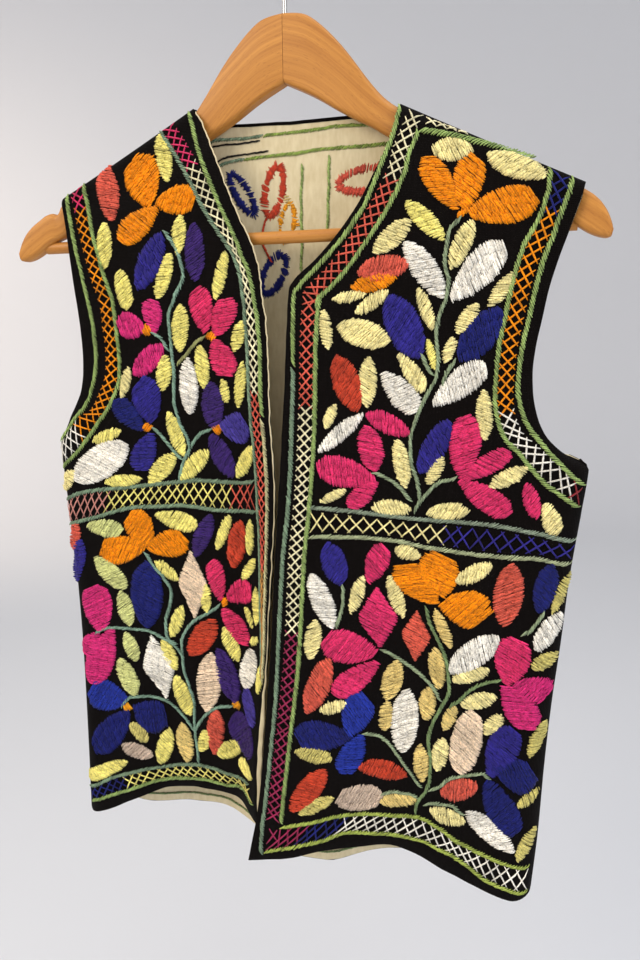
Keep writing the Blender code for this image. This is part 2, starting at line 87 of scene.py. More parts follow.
def to_metres(points):
    """Millimetres from the apex to metres from the hook: drop z by 85, then times 0.001."""
    return (np.asarray(points, float) - (0.0, 0.0, APEX_DROP)) * MM


# %% [markdown]
# ## The cut of the cloth
#
# Each front is cut along four edges. The tables give, row by row from the shoulder seam
# to the hem, where the front edge and the side edge lie, then how deep the cloth hangs.
# A sculpted mesh could carry the same form, but a table can be read and corrected.

# %% Cut edges
# The wearer's left front. Columns: front edge x, z and side edge x, z, a row for each level
# from the shoulder seam to the hem. Row 1 is the foot of the roll over the arm.
LEFT_EDGES = table("""
85 -65.5 208.5 -124.5
83.7 -74.9 206.5 -133.6
80 -90 203 -145
73 -107 199 -158
63 -126 194.5 -173
49 -146 190 -191
32 -165 187 -210
13 -181.5 184 -229
8.5 -189 183 -243
7.5 -206 184 -258
6.5 -230 187.5 -274
6 -256 194 -288
5.2 -284 207 -301
4.2 -312 224 -312
2 -346 221 -346
0.2 -394 216.5 -394
-1.6 -442 214 -442
-4.1 -494 210.5 -494
-7.3 -546 208.5 -546
-11.4 -598 207.5 -598
-19.4 -648 205 -650
""")

# The wearer's right front, with the same columns.
RIGHT_EDGES = table("""
-71 -56 -182 -114.5
-64.6 -64.2 -180.2 -123.5
-54.8 -81.5 -178.5 -137
-45.5 -100 -177 -151
-38 -119 -175.5 -166
-29.5 -138 -174 -182
-20 -157 -172 -200
-15 -175 -170.5 -218
-13.3 -192 -170 -235
-10.2 -210 -171 -251
-8.6 -231 -174.5 -266
-7.7 -256 -181.5 -279
-6.6 -284 -191 -293
-4 -312 -203 -314
-2.4 -346 -201.5 -348
-4.1 -394 -198 -396
-6.7 -436 -196 -442
-9 -482 -194.8 -494
-13.7 -529 -194.6 -546
-16.6 -576 -195 -600
-15.8 -621 -196 -655
""")

print("rows from shoulder to hem:", len(LEFT_EDGES))

# %% Depths
# Depths of the fronts' outer faces. Columns: z, front edge, near the edge, middle, side, side edge.
LEFT_DEPTHS = table("""
-190 -21 -20 -19.8 -21 -21
-250 -25 -21.5 -20.5 -21.5 -21
-285 -28 -23.5 -21.5 -22 -18.5
-312 -30 -25 -22 -22.5 -9
-394 -35 -30 -24.5 -23.5 -9
-494 -43 -37.5 -28 -26 -9.5
-598 -50.5 -44 -31.5 -29 -11
-660 -55 -48.5 -33.5 -30.5 -12
""")
RIGHT_DEPTHS = table("""
-190 -21 -19.8 -19.6 -21 -21
-250 -23.5 -18.8 -18.8 -20.8 -20.3
-285 -26 -16.5 -18.2 -21 -17.5
-312 -27.5 -15.5 -18 -21.5 -9
-394 -32 -13.5 -17.5 -22 -9
-494 -36.5 -12 -16.5 -24 -9.5
-576 -41 -11 -15.5 -26.5 -11
-660 -45.5 -10.5 -15 -28.5 -12
""")

# Depths of the back's outer face. Columns: z, side edge, side, quarter, centre, quarter, side,
# side edge, from the wearer's right to the left.
BACK_DEPTHS = table("""
-60 1 1 8.5 10.3 8.5 1 1
-190 2 2 9 11 9 2 2
-285 1 3.5 10.5 11 10.5 3.5 1
-312 -9 4 11 11 11 4 -9
-394 -9 5.5 12.5 10 12.5 5.5 -9
-494 -9.5 6 13.5 6.5 13 6 -9.5
-598 -11 5.5 13.5 0.5 11.5 5.5 -11
-690 -12 5 13 -4 9 5 -12
""")

print("levels of depth:", len(LEFT_DEPTHS), len(RIGHT_DEPTHS), len(BACK_DEPTHS))

# %% Hems, neck and folds
# Hems. Columns: fraction from the front edge (or from the wearer's right) to the side, and the
# rise above the straight line between the hem's corners.
LEFT_HEM = table("""
0 0, 0.1 2.5, 0.27 14.2, 0.37 20.2, 0.52 26.5, 0.61 24.2, 0.71 14.3, 0.79 6.5, 0.86 0.5,
0.93 -2.5, 1 0
""")
RIGHT_HEM = table("""
0 0, 0.14 3.2, 0.33 9.9, 0.41 12.6, 0.53 13, 0.63 9.6, 0.73 4.6, 0.89 -3.7, 0.95 -4.8, 1 0
""")
BACK_HEM = table("""
0 0, 0.13 -6, 0.23 -2, 0.32 -1.5, 0.4 -8, 0.5 -24, 0.57 -24, 0.66 -13, 0.77 -6, 0.9 -3, 1 0
""")

# The back's neckline between the two neck points. Columns: x, z.
BACK_NECK = table("""
-71 -56, -70 -57.1, -68 -59.2, -64.5 -61.8, -59 -64.2, -48 -66.2, -20 -67, 7 -67.3, 35 -67.2,
60 -67.2, 75 -67.1, 80 -66.8, 83 -66.2, 85 -65.5
""")

# The largest folds. Columns: upper x, z and lower x, z of the crest, width, height towards the
# outside (a trough is negative).
LEFT_FOLDS = table("""
150 -330 128 -640 16 3
100 -420 80 -640 15 -2.5
196 -330 160 -420 11 2.2
60 -250 120 -330 14 -1.6
""")
RIGHT_FOLDS = table("""
-150 -330 -140 -640 14 2.6
-105 -430 -112 -640 13 -2.2
-180 -330 -140 -410 11 2
""")
BACK_FOLDS = table("""
-90 -360 -70 -660 18 3
70 -340 92 -660 18 3
150 -420 150 -650 15 -2.5
-140 -400 -146 -650 15 -2.5
""")

print("folds:", len(LEFT_FOLDS), len(RIGHT_FOLDS), len(BACK_FOLDS))

# %% [markdown]
# ## Reading the tables smoothly
#
# Straight lines between table rows would leave visible corners in the cloth, and an
# ordinary spline swings past its values. A monotone cubic passes through every value
# and never overshoots, so it is the safe way to draw a cut edge from a few rows.

# %% Smooth curves through table values
def smooth_between(knots, values, at):
    """A cubic between each pair of knots with end slopes the harmonic mean of the
    neighbouring straight slopes, or zero where they change sign; level past the ends."""
    at = np.asarray(at, float)
    knots = [np.broadcast_to(knot, at.shape) for knot in knots]
    values = [np.broadcast_to(value, at.shape) for value in values]
    spans = [b - a for a, b in zip(knots, knots[1:])]
    slopes = [(b - a) / span for a, b, span in zip(values, values[1:], spans)]
    bends = [slopes[0]]
    for before, after in zip(slopes, slopes[1:]):
        same_way = before * after > 0
        total = np.where(same_way, before + after, 1.0)
        bends.append(np.where(same_way, 2 * before * after / total, 0.0))
    bends.append(slopes[-1])
    result = np.array(values[0], float)
    for i, span in enumerate(spans):
        f = np.clip((at - knots[i]) / span, 0, 1)
        rise = values[i + 1] - values[i]
        start, end = bends[i] * span, bends[i + 1] * span
        cubic = (3 * rise - 2 * start - end) + f * (start + end - 2 * rise)
        result = np.where(at >= knots[i], values[i] + f * (start + f * cubic), result)
    return result


def column(rows, at, index=1):
    """One column of a table, read smoothly at values of its first column."""
    rows = sorted(rows)
    return smooth_between([row[0] for row in rows], [row[index] for row in rows], at)


def edge_x(edges, x_index, z):
    """How far out a cut edge lies at a height."""
    return column([(row[x_index + 1], row[x_index]) for row in edges], z)


def to_the_side(edges):
    """1 where the side lies at larger x than the front edge, and -1 on the other front."""
    return 1 if edges[0][2] > edges[0][0] else -1


def edge_point(edges, x_index, row):
    """The (x, z) point of a cut edge at a table row, which may be a fraction."""
    rows = range(len(edges))
    return np.stack(
        [smooth_between(rows, [line[x_index + k] for line in edges], row) for k in (0, 1)], -1
    )


print("front edge of the left front at z = -300:", edge_x(LEFT_EDGES, 0, -300.0).round(1))

# %% [markdown]
# ## Creases placed by hand
#
# ## Creases placed one by one
# the armholes, long drops towards the hem and a faint pucker everywhere. A simulation
# would place these at random, so each trough and ridge is a row here: where its line
# runs, how wide its bell is and how high it stands. The pucker is a sum of slow waves.

# %% Troughs, ridges and pucker
# Columns: start x, z, end x, z, half width, height towards the outside (mm).
LEFT_CREASES = table("""
178 -236 128 -268 9 -1.6
186 -252 150 -300 10 1.4
205 -318 150 -352 11 -1.5
96 -150 60 -196 9 -1.1
150 -118 132 -190 10 0.9
28 -200 20 -330 7 1.1
16 -240 30 -300 8 -0.9
40 -362 205 -362 6 -0.9
60 -400 52 -600 14 1.2
168 -390 176 -600 13 -1.6
196 -440 200 -610 8 1.3
4 -420 -6 -600 7 -1
18 -500 8 -640 8 1
110 -560 104 -600 12 -1
""")
RIGHT_CREASES = table("""
-164 -228 -120 -262 9 -1.5
-172 -246 -140 -296 10 1.3
-190 -312 -140 -344 11 -1.4
-76 -120 -52 -180 9 -1
-140 -110 -128 -180 10 0.9
-24 -206 -16 -330 7 1
-30 -348 -190 -360 6 -0.9
-60 -400 -56 -590 13 1.2
-166 -392 -170 -600 12 -1.5
-186 -430 -188 -610 8 1.1
-30 -430 -36 -590 8 -1
-124 -540 -118 -600 12 0.9
""")
BACK_CREASES = table("""
-150 -230 -96 -262 12 1.8
164 -240 104 -268 12 1.8
-176 -300 -120 -340 11 -1.5
190 -304 130 -342 11 -1.5
-60 -110 -34 -210 13 -1.3
72 -112 44 -214 13 -1.3
-30 -360 -36 -600 12 -1.6
48 -380 40 -620 12 -1.6
10 -300 6 -560 10 1.3
-172 -420 -176 -620 9 1.2
184 -420 186 -630 9 1.2
-110 -560 -100 -650 12 1.4
116 -560 118 -650 12 1.4
""")
# Columns: wave length (mm), direction (degrees), phase, height (mm).
PUCKER_WAVES = table("""
31 12 0.3 0.2
23 71 1.9 0.18
17.5 128 4.1 0.14
41 155 2.6 0.26
13 40 5.2 0.09
""")


def crease_height(creases, x, z):
    """Each height times a bell across its line, times a fade past its ends, all added."""
    total = np.zeros(np.shape(x))
    for start_x, start_z, end_x, end_z, half_width, height in creases:
        run_x, run_z = end_x - start_x, end_z - start_z
        length = math.hypot(run_x, run_z)
        along = ((x - start_x) * run_x + (z - start_z) * run_z) / length**2
        across = ((x - start_x) * run_z - (z - start_z) * run_x) / length
        past = np.maximum(0, np.abs(2 * along - 1) - 0.5) / 0.45
        total += height * np.exp(-0.5 * (across / half_width) ** 2 - past**2)
    for wave, degrees, phase, height in PUCKER_WAVES:
        angle = math.radians(degrees)
        run = (x * math.cos(angle) + z * math.sin(angle)) * 2 * math.pi / wave
        total += height * np.sin(run + phase + 0.6 * np.sin(0.037 * (x - 2 * z)))
    return total


print("creases:", len(LEFT_CREASES), len(RIGHT_CREASES), len(BACK_CREASES))

# %% [markdown]
# ## How deep each panel hangs
#
# A panel starts on the wooden arm, rolls over it in a quarter circle, fades into its own
# hang and turns round in a quarter ellipse at the side seam. One depth function per
# panel gives y for any (x, z), so cloth, lining and every stitch share the same surface.

# %% The shoulders and the roll over the arm
def arm_depth(x):
    """The arms bend forward as the square of the way to the tip."""
    return -ARM_BEND * (x / ARM_HALF_SPAN) ** 2


def shoulder_height(x):
    """The straight shoulder seams, carried on towards the centre."""
    left, right = LEFT_EDGES[0], RIGHT_EDGES[0]
    lines = [z + (x - a) * (w - z) / (b - a) for a, z, b, w in (left, right)]
    return np.where(x > 7, lines[0], lines[1])


def over_the_arm(x, z, panel_depth, side):
    """A quarter circle over the arm, then a smooth step from its foot to the panel."""
    below = np.maximum(0.0, shoulder_height(x) - z)
    top_depth = arm_depth(x) + side * 0.5 * GAP
    rolled = ROLL - np.minimum(below, ROLL)
    roll = top_depth + side * np.sqrt(ROLL**2 - rolled**2)
    f = np.clip((below - ROLL) / ROLL_FADE, 0, 1)
    f = f * f * (3 - 2 * f)
    return np.where(below < ROLL, roll, (1 - f) * (top_depth + side * ROLL) + f * panel_depth)


print("the arm's depth at its tip (mm):", arm_depth(ARM_HALF_SPAN))

# %% Folds, side turns and fading creases
CREASE_FADE, CREASE_START = 20.0, 40.0  # mm from a side seam and from the roll


def folds(rows, x, z):
    """Each fold's height times a bell across its crest, times a fade along it."""
    total = 0.0
    for upper_x, upper_z, lower_x, lower_z, width, height in rows:
        run = (upper_z - z) / (upper_z - lower_z)
        fade = smooth_between((-0.25, 0.15, 1.0), (0.0, 0.8, 1.0), run)
        offset = (x - upper_x - run * (lower_x - upper_x)) / width
        total = total + height * fade * np.exp(-0.5 * offset * offset)
    return total


def side_turn(distance, panel_depth, edge_depth):
    """A quarter ellipse from the panel's depth to the side edge's depth."""
    f = np.minimum(1.0, np.maximum(0.0, distance) / SIDE_TURN)
    return edge_depth + (panel_depth - edge_depth) * np.sqrt(1 - (1 - f) ** 2)


def crease_fade(x, z, distance):
    """Creases die out towards a side seam and on the roll over the arm."""
    below = shoulder_height(x) - z
    return np.clip(distance / CREASE_FADE, 0, 1) * np.clip((below - ROLL) / CREASE_START, 0, 1)


print("depth halfway round a side turn (mm):", side_turn(SIDE_TURN / 2, -20.0, -9.0).round(1))

# %% Depth of each panel
FRONT_MIDDLE = 0.58  # share of a front's width at which its middle depth is read
BACK_LEVELS_AT = (0.04, 0.27, 0.51, 0.75, 0.96)  # shares of the back's width
FOLD_FADE = 30.0  # mm: folds die out this near a side seam


def front_depth(edges, depths, fold_table, creases, x, z):
    """Levels read across the width, folds and creases added, both turns applied."""
    inner, outer = edge_x(edges, 0, z), edge_x(edges, 2, z)
    way = to_the_side(edges)
    across, width = way * (x - inner), way * (outer - inner)
    levels = [column(depths, z, i) for i in range(1, 6)]
    knots = (0 * width, NEAR_EDGE + 0 * width, FRONT_MIDDLE * width, width - SIDE_TURN)
    flat = smooth_between(knots, levels[:4], across)
    flat = flat - folds(fold_table, x, z) * np.clip((width - across) / FOLD_FADE, 0, 1)
    flat = flat - crease_height(creases, x, z) * crease_fade(x, z, width - across)
    return over_the_arm(x, z, side_turn(width - across, flat, levels[4]) - 0.5 * GAP, -1)


def left_depth(x, z):
    """Depth of the wearer's left front."""
    return front_depth(LEFT_EDGES, LEFT_DEPTHS, LEFT_FOLDS, LEFT_CREASES, x, z)


def right_depth(x, z):
    """Depth of the wearer's right front."""
    return front_depth(RIGHT_EDGES, RIGHT_DEPTHS, RIGHT_FOLDS, RIGHT_CREASES, x, z)


def back_depth(x, z):
    """Seven levels across the back, folds and creases added, turned at both sides."""
    right, left = edge_x(RIGHT_EDGES, 2, z), edge_x(LEFT_EDGES, 2, z)
    levels = [column(BACK_DEPTHS, z, i) for i in range(1, 8)]
    knots = [right + f * (left - right) for f in BACK_LEVELS_AT]
    from_right, from_left = x - right, left - x
    nearer = np.minimum(from_right, from_left)
    flat = smooth_between(knots, levels[1:6], x) + folds(BACK_FOLDS, x, z)
    flat = flat + crease_height(BACK_CREASES, x, z) * crease_fade(x, z, nearer)
    edge_depth = np.where(from_right < from_left, levels[0], levels[6])
    return over_the_arm(x, z, side_turn(nearer, flat, edge_depth) + 0.5 * GAP, 1)


print("left front's depth at its middle (mm):", left_depth(np.array(100.0), -400.0).round(2))

# %% Points and normals of a panel
def unit(vectors):
    """Each vector over its own length."""
    return vectors / np.maximum(np.linalg.norm(vectors, axis=-1, keepdims=True), 1e-9)


def turned_left(ways):
    """Directions (x, z) turned by a right angle: (-z, x)."""
    return np.stack([-ways[..., 1], ways[..., 0]], -1)


# A panel's depth function, and the way its outside faces along y.
LEFT_FRONT, RIGHT_FRONT, BACK = (left_depth, -1), (right_depth, -1), (back_depth, 1)


def on_panel(panel, spots):
    """Points of a panel at (x, z) spots with their unit normals: the normal is the cross
    product of the surface's slopes, turned to the outside."""
    depth, outward = panel
    x, z = spots[..., 0], spots[..., 1]
    step = 0.25
    y = depth(x, z)
    slope_x = (depth(x + step, z) - depth(x - step, z)) / (2 * step)
    slope_z = (depth(x, z + step) - depth(x, z - step)) / (2 * step)
    normal = np.stack([-slope_x, np.ones_like(y), -slope_z], -1) * outward
    return np.stack([x, y, z], -1), unit(normal)


print("normal at a front's middle:", on_panel(LEFT_FRONT, np.array([100.0, -400.0]))[1].round(2))

# %% [markdown]
# ## Materials
#
# The garment has four real stuffs: woven cotton, stranded embroidery cotton, varnished
# beech and polished wire. A picture laid on cloth would look right from one side only, so
# each is worked out from procedural patterns whose scale is a real size in millimetres.
# One helper adds a node and another turns sRGB hex values to the linear ones Blender uses.

# %% Helpers for colours and nodes
def linear(hex_colour):
    """sRGB to linear light: a straight part near black, then the 2.4 power curve."""
    value = np.array([int(hex_colour[i : i + 2], 16) for i in (1, 3, 5)]) / 255
    return np.where(value <= 0.04045, value / 12.92, ((value + 0.055) / 1.055) ** 2.4)


def add_node(tree, kind, inputs=None, **settings):
    """Adds a node: settings are its own fields, inputs are values or links for its sockets."""
    node = tree.nodes.new("ShaderNode" + kind)
    for field, value in settings.items():
        setattr(node, field, value)
    for socket, value in (inputs or {}).items():
        if isinstance(value, bpy.types.NodeSocket):
            tree.links.new(value, node.inputs[socket])
        else:
            node.inputs[socket].default_value = value
    return node


def new_material(name, **surface):
    """A Principled material, its tree and its shader; surface names the shader's sockets."""
    material = bpy.data.materials.new(name)
    material.use_nodes = True
    shader = material.node_tree.nodes["Principled BSDF"]
    for socket, value in surface.items():
        shader.inputs[socket.replace("_", " ")].default_value = value
    return material, material.node_tree, shader


def rgba(hex_colour):
    """Four numbers for a colour socket."""
    return (*linear(hex_colour), 1.0)


# %% [markdown]
# ### Woven cotton, dyed black, and unbleached calico
#
# Plain weave passes each thread over one and under the next. A full weave of tubes would
# need millions of faces, so two crossed waves on the UV map, which is in metres on the
# cloth, raise the threads in a bump. The real thread spacing is about 0.4 mm; it is drawn
# at 1.1 mm so that it still shows. The calico also has uneven, slubby yarn.

# %% Cotton materials
WEAVE_DRAWN = 1.1  # mm between threads, drawn coarser than the real 0.4 mm


def weave_height(tree, uv):
    """Two waves at right angles, added: threads one way and threads the other way."""
    rings = math.tau / 20 / (WEAVE_DRAWN * MM)
    waves = [
        add_node(tree, "TexWave", {"Vector": uv, "Scale": rings, "Distortion": 0.4,
                                   "Detail": 1.0, "Detail Scale": 2.0},
                 wave_type="BANDS", bands_direction=direction)
        for direction in ("X", "Y")
    ]
    return add_node(tree, "Math", {0: waves[0].outputs["Fac"], 1: waves[1].outputs["Fac"]},
                    operation="ADD").outputs[0]


def woven_cotton(name, low, high, sheen, bump, slub_size=(480.0, 40.0, 1.0)):
    """Cotton whose colour wanders between two hexes and whose weave stands up as a bump."""
    material, tree, shader = new_material(
        name, Roughness=0.92, Specular_IOR_Level=0.06, Sheen_Weight=sheen, Sheen_Roughness=0.5
    )
    uv = add_node(tree, "UVMap", uv_map="cloth_metres").outputs["UV"]
    weave = weave_height(tree, uv)
    # Slubs: thick places in the yarn, about 2 mm wide and 25 mm long down the cloth.
    long_way = add_node(tree, "Mapping", {"Vector": uv, "Scale": slub_size}).outputs[0]
    slub = add_node(tree, "TexNoise", {"Vector": long_way, "Scale": 1.0, "Detail": 4.0})
    slub = slub.outputs["Fac"]
    blend = add_node(tree, "Mix", {0: slub, 6: rgba(low), 7: rgba(high)}, data_type="RGBA")
    tree.links.new(blend.outputs[2], shader.inputs["Base Color"])
    raised = add_node(tree, "Bump", {"Height": weave, "Strength": bump, "Distance": 0.0004})
    tree.links.new(raised.outputs["Normal"], shader.inputs["Normal"])
    return material


# Matt and dark, with a soft fuzz of light along its edges.
black_plain_weave = woven_cotton("black cotton, plain woven", "#060404", "#100c0a", 0.01, 0.5)
# Warm off-white, slightly mottled, as unbleached cloth is.
calico = woven_cotton("cream calico, unbleached plain weave", "#bfae86", "#e4d8b4", 0.03, 0.1,
                      (260.0, 90.0, 1.0))
print("weave drawn at", WEAVE_DRAWN, "mm")

# %% [markdown]
# ### Stranded embroidery cotton
#
# Six loosely twisted strands lie side by side and shine a little across their length.
# The colour of every single stitch comes from an attribute of its mesh, so one material
# serves all the threads and no two stitches need be quite alike. Sheen gives the soft
# bloom of mercerised cotton, which plain gloss would turn into plastic.

# %% Thread
def stranded_cotton():
    """Attribute colour times a fine noise of painted light and shade, with a low, soft gloss and
    sheen.
    """
    material, tree, shader = new_material(
        "stranded cotton thread, mercerised", Roughness=0.6, Specular_IOR_Level=0.18,
        Sheen_Weight=0.04, Sheen_Roughness=0.35,
    )
    dye = add_node(tree, "Attribute", attribute_name="thread_colour").outputs["Color"]
    place = add_node(tree, "TexCoord").outputs["Object"]
    # 1 mm noise for the strands of one thread, drawn about as coarse as they are: as a bump it
    # raises them, and in the colour it is painted light and shade, patches made lighter and darker.
    shade_and_bump_noise = add_node(tree, "TexNoise", {"Vector": place, "Scale": 900.0, "Detail": 3.0})
    painted_shade_level = add_node(tree, "MapRange", {0: shade_and_bump_noise.outputs["Fac"], 1: 0.32, 2: 0.68, 3: 0.68,
                                        4: 1.3})
    dyed = add_node(tree, "VectorMath", {0: dye, 1: painted_shade_level.outputs[0]}, operation="MULTIPLY")
    tree.links.new(dyed.outputs[0], shader.inputs["Base Color"])
    raised = add_node(tree, "Bump", {"Height": shade_and_bump_noise.outputs["Fac"], "Strength": 0.25,
                                     "Distance": 0.0004})
    tree.links.new(raised.outputs["Normal"], shader.inputs["Normal"])
    return material


thread = stranded_cotton()
print("material:", thread.name)

# %% [markdown]
# ### Varnished beech and plated wire
#
# Beech has long, faint grain lines and short dark flecks. Both are stretched noise on the
# wood's own coordinates, so they follow an arm where it bends, which a flat board's
# pattern would not. The varnish is a thin coat over it. The hook is bright steel wire.

# %% Wood and wire
def varnished_beech():
    """Long grain and short dark flecks along the wood's own coordinates, under a thin coat."""
    material, tree, shader = new_material(
        "beech, planed and varnished", Roughness=0.5, Specular_IOR_Level=0.3,
        Coat_Weight=0.1, Coat_Roughness=0.25,
    )
    along = add_node(tree, "Attribute", attribute_name="wood_place").outputs["Vector"]
    # Grain lines about 3 mm apart and 60 mm long; flecks 0.6 mm wide and 4 mm long.
    stretched = add_node(tree, "Mapping", {"Vector": along, "Scale": (9.0, 420.0, 420.0)})
    grain = add_node(tree, "TexNoise", {"Vector": stretched.outputs[0], "Scale": 1.0,
                                        "Detail": 3.0, "Roughness": 0.55})
    short = add_node(tree, "Mapping", {"Vector": along, "Scale": (250.0, 1600.0, 1600.0)})
    fleck = add_node(tree, "TexNoise", {"Vector": short.outputs[0], "Scale": 1.0, "Detail": 1.0})
    fleck_part = add_node(tree, "MapRange", {0: fleck.outputs["Fac"], 1: 0.62, 2: 0.78, 3: 0.0,
                                             4: 0.5})
    ramp = add_node(tree, "ValToRGB", {0: grain.outputs["Fac"]})
    ramp.color_ramp.elements[0].position, ramp.color_ramp.elements[1].position = 0.25, 0.75
    ramp.color_ramp.elements[0].color = rgba("#a86b2a")
    ramp.color_ramp.elements[1].color = rgba("#c6883c")
    tone = add_node(tree, "Mix", {0: fleck_part.outputs[0], 6: ramp.outputs[0],
                                  7: rgba("#8a5322")}, data_type="RGBA")
    tree.links.new(tone.outputs[2], shader.inputs["Base Color"])
    raised = add_node(tree, "Bump", {"Height": grain.outputs["Fac"], "Strength": 0.08,
                                     "Distance": 0.0005})
    tree.links.new(raised.outputs["Normal"], shader.inputs["Normal"])
    return material


# Warm honey wood: the coat gives a second, softer highlight over the grain.
beech = varnished_beech()
# Smooth drawn wire, plated bright: crisp reflections of the room.
plated_wire = new_material("steel wire, drawn and plated", Roughness=0.2, Metallic=1.0,
                           Base_Color=rgba("#c9c7c2"))[0]
print("materials:", [m.name for m in (black_plain_weave, calico, thread, beech, plated_wire)])

# %% [markdown]
# ## From arrays to meshes
#
# Blender can build a mesh one face at a time, but Python is slow at that. Here whole
# arrays go in at once with foreach_set. A closed mesh whose faces all agree has a volume
# with a sign, so turning every face when it is negative makes all of them point outwards.

# %% Mesh helpers
def in_scene(name, data):
    """An object at the origin that shows a mesh, light or camera."""
    made = bpy.data.objects.new(name, data)
    bpy.context.scene.collection.objects.link(made)
    return made


def turned_outward(points, face_sets):
    """Reverses all faces where the summed volume (origin to each face's corners) is negative."""
    centred = points - points.mean(0)
    volume = 0.0
    for faces in face_sets:
        corners = centred[faces]
        for k in range(1, faces.shape[1] - 1):
            across = np.cross(corners[:, k], corners[:, k + 1])
            volume += np.einsum("ij,ij->", corners[:, 0], across)
    return [faces[:, ::-1] for faces in face_sets] if volume < 0 else face_sets


def put_mesh(name, points, face_sets, material, uv=None, attributes=None, smooth_below=180):
    """A mesh object at the origin from points in mm, arrays of equal-sided faces, and
    per-point values: uv in metres and named attributes of three numbers."""
    face_sets = turned_outward(points, face_sets)
    corners = np.concatenate([faces.ravel() for faces in face_sets])
    sides = np.concatenate([np.full(len(faces), faces.shape[1]) for faces in face_sets])
    mesh = bpy.data.meshes.new(name)
    mesh.vertices.add(len(points))
    mesh.vertices.foreach_set("co", to_metres(points).ravel().astype(np.float32))
    mesh.loops.add(len(corners))
    mesh.loops.foreach_set("vertex_index", corners.astype(np.int32))
    mesh.polygons.add(len(sides))
    starts = np.concatenate([[0], np.cumsum(sides)[:-1]])
    mesh.polygons.foreach_set("loop_start", starts.astype(np.int32))
    mesh.update(calc_edges=True)
    if uv is not None:
        layer = mesh.uv_layers.new(name="cloth_metres")
        layer.data.foreach_set("uv", uv[corners].ravel().astype(np.float32))
    for label, values in (attributes or {}).items():
        kind = "FLOAT_COLOR" if label == "thread_colour" else "FLOAT_VECTOR"
        field = "color" if kind == "FLOAT_COLOR" else "vector"
        if kind == "FLOAT_COLOR":
            values = np.concatenate([values, np.ones((len(values), 1))], 1)
        made = mesh.attributes.new(label, kind, "POINT")
        made.data.foreach_set(field, values.ravel().astype(np.float32))
    mesh.shade_smooth()
    if smooth_below < 180:
        mesh.set_sharp_from_angle(angle=math.radians(smooth_below))
    mesh.materials.append(material)
    return in_scene(name, mesh)


def dress(piece, slot, *nodes):
    """Hangs a finished piece on the frame by its body and hides the nodes it stands for; slot is
    not used.
    """
    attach(piece, "root")
    if nodes:
        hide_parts(*nodes)
    faces = sum(len(polygon.vertices) - 2 for polygon in piece.data.polygons)
    print(f"{piece.name}: {faces} triangles")
    return piece


# %% [markdown]
# ## The cloth shells
#
# A panel is cut cloth with four edges, so its grid is fitted between those edges: points
# of opposite edges are joined both ways and the doubled corners are taken off. The grid
# is lifted to its depth, pushed inwards by the cloth's thickness and closed round the rim
# through a middle ring, so that a cut edge looks folded and not sliced.

# %% Rows and columns between four edges
TURN_STEPS = np.radians(np.arange(80.0, -1.0, -10.0))
NECK_COLUMNS = (-71, -70, -68, -64.5, -59, 75, 80, 83, 85)  # x of the neck's bends
COLUMN_GAP = 1.2  # mm: other columns keep this far from those


def row_steps(parts):
    """Table rows cut into equal parts, after finer steps inside the roll over the arm."""
    inside = 1 - np.cos(np.radians([0, 12, 24, 36, 48, 60, 72, 81]))
    return np.concatenate([inside, np.linspace(1, 20, 19 * parts + 1)])


def turn_fractions(width):
    """Fractions of the width for the columns inside a side turn, from panel to seam."""
    return 1 - SIDE_TURN * (1 - np.cos(TURN_STEPS)) / width[:, None]


def fitted_grid(steps, start, end, top, bottom, fractions):
    """Joins start to end across each row and top to bottom down each column, adds the two
    and takes off the joined corners, which would otherwise be counted twice."""
    t = (steps / (len(LEFT_EDGES) - 1))[:, None, None]
    s = fractions[..., None]
    corner = {s_end: (1 - t) * top(s_end) + t * bottom(s_end) for s_end in (0.0, 1.0)}
    down = (1 - t) * top(fractions) + t * bottom(fractions)
    start, end = start[:, None, :], end[:, None, :]
    return down + (1 - s) * (start - corner[0.0]) + s * (end - corner[1.0])


def seam_line(first, last, s, hem=((0, 0), (1, 0))):
    """Spots at shares s of the straight line between two corners, lifted by a hem's rise."""
    s, first, last = np.asarray(s, float), np.array(first), np.array(last)
    rise = column(hem, s)
    return first + s[..., None] * (last - first) + np.stack([0 * rise, rise], -1)


print("rows of a grid:", len(row_steps(5)))

# %% Grids of the fronts and of the back
def front_grid(edges, hem, parts, columns):
    """(x, z) spots of a front, from its front edge to its side and shoulder to hem."""
    steps = row_steps(parts)

    def top(s):
        """The shoulder seam."""
        return seam_line(edges[0][:2], edges[0][2:], s)

    def bottom(s):
        """The hem."""
        return seam_line(edges[-1][:2], edges[-1][2:], s, hem)

    start, end = edge_point(edges, 0, steps), edge_point(edges, 2, steps)
    width = np.abs(end[:, 0] - start[:, 0])
    flat = (1 - SIDE_TURN / width)[:, None] * np.linspace(0, 1, columns + 1)
    fractions = np.concatenate([flat, turn_fractions(width)], 1)
    return fitted_grid(steps, start, end, top, bottom, fractions)


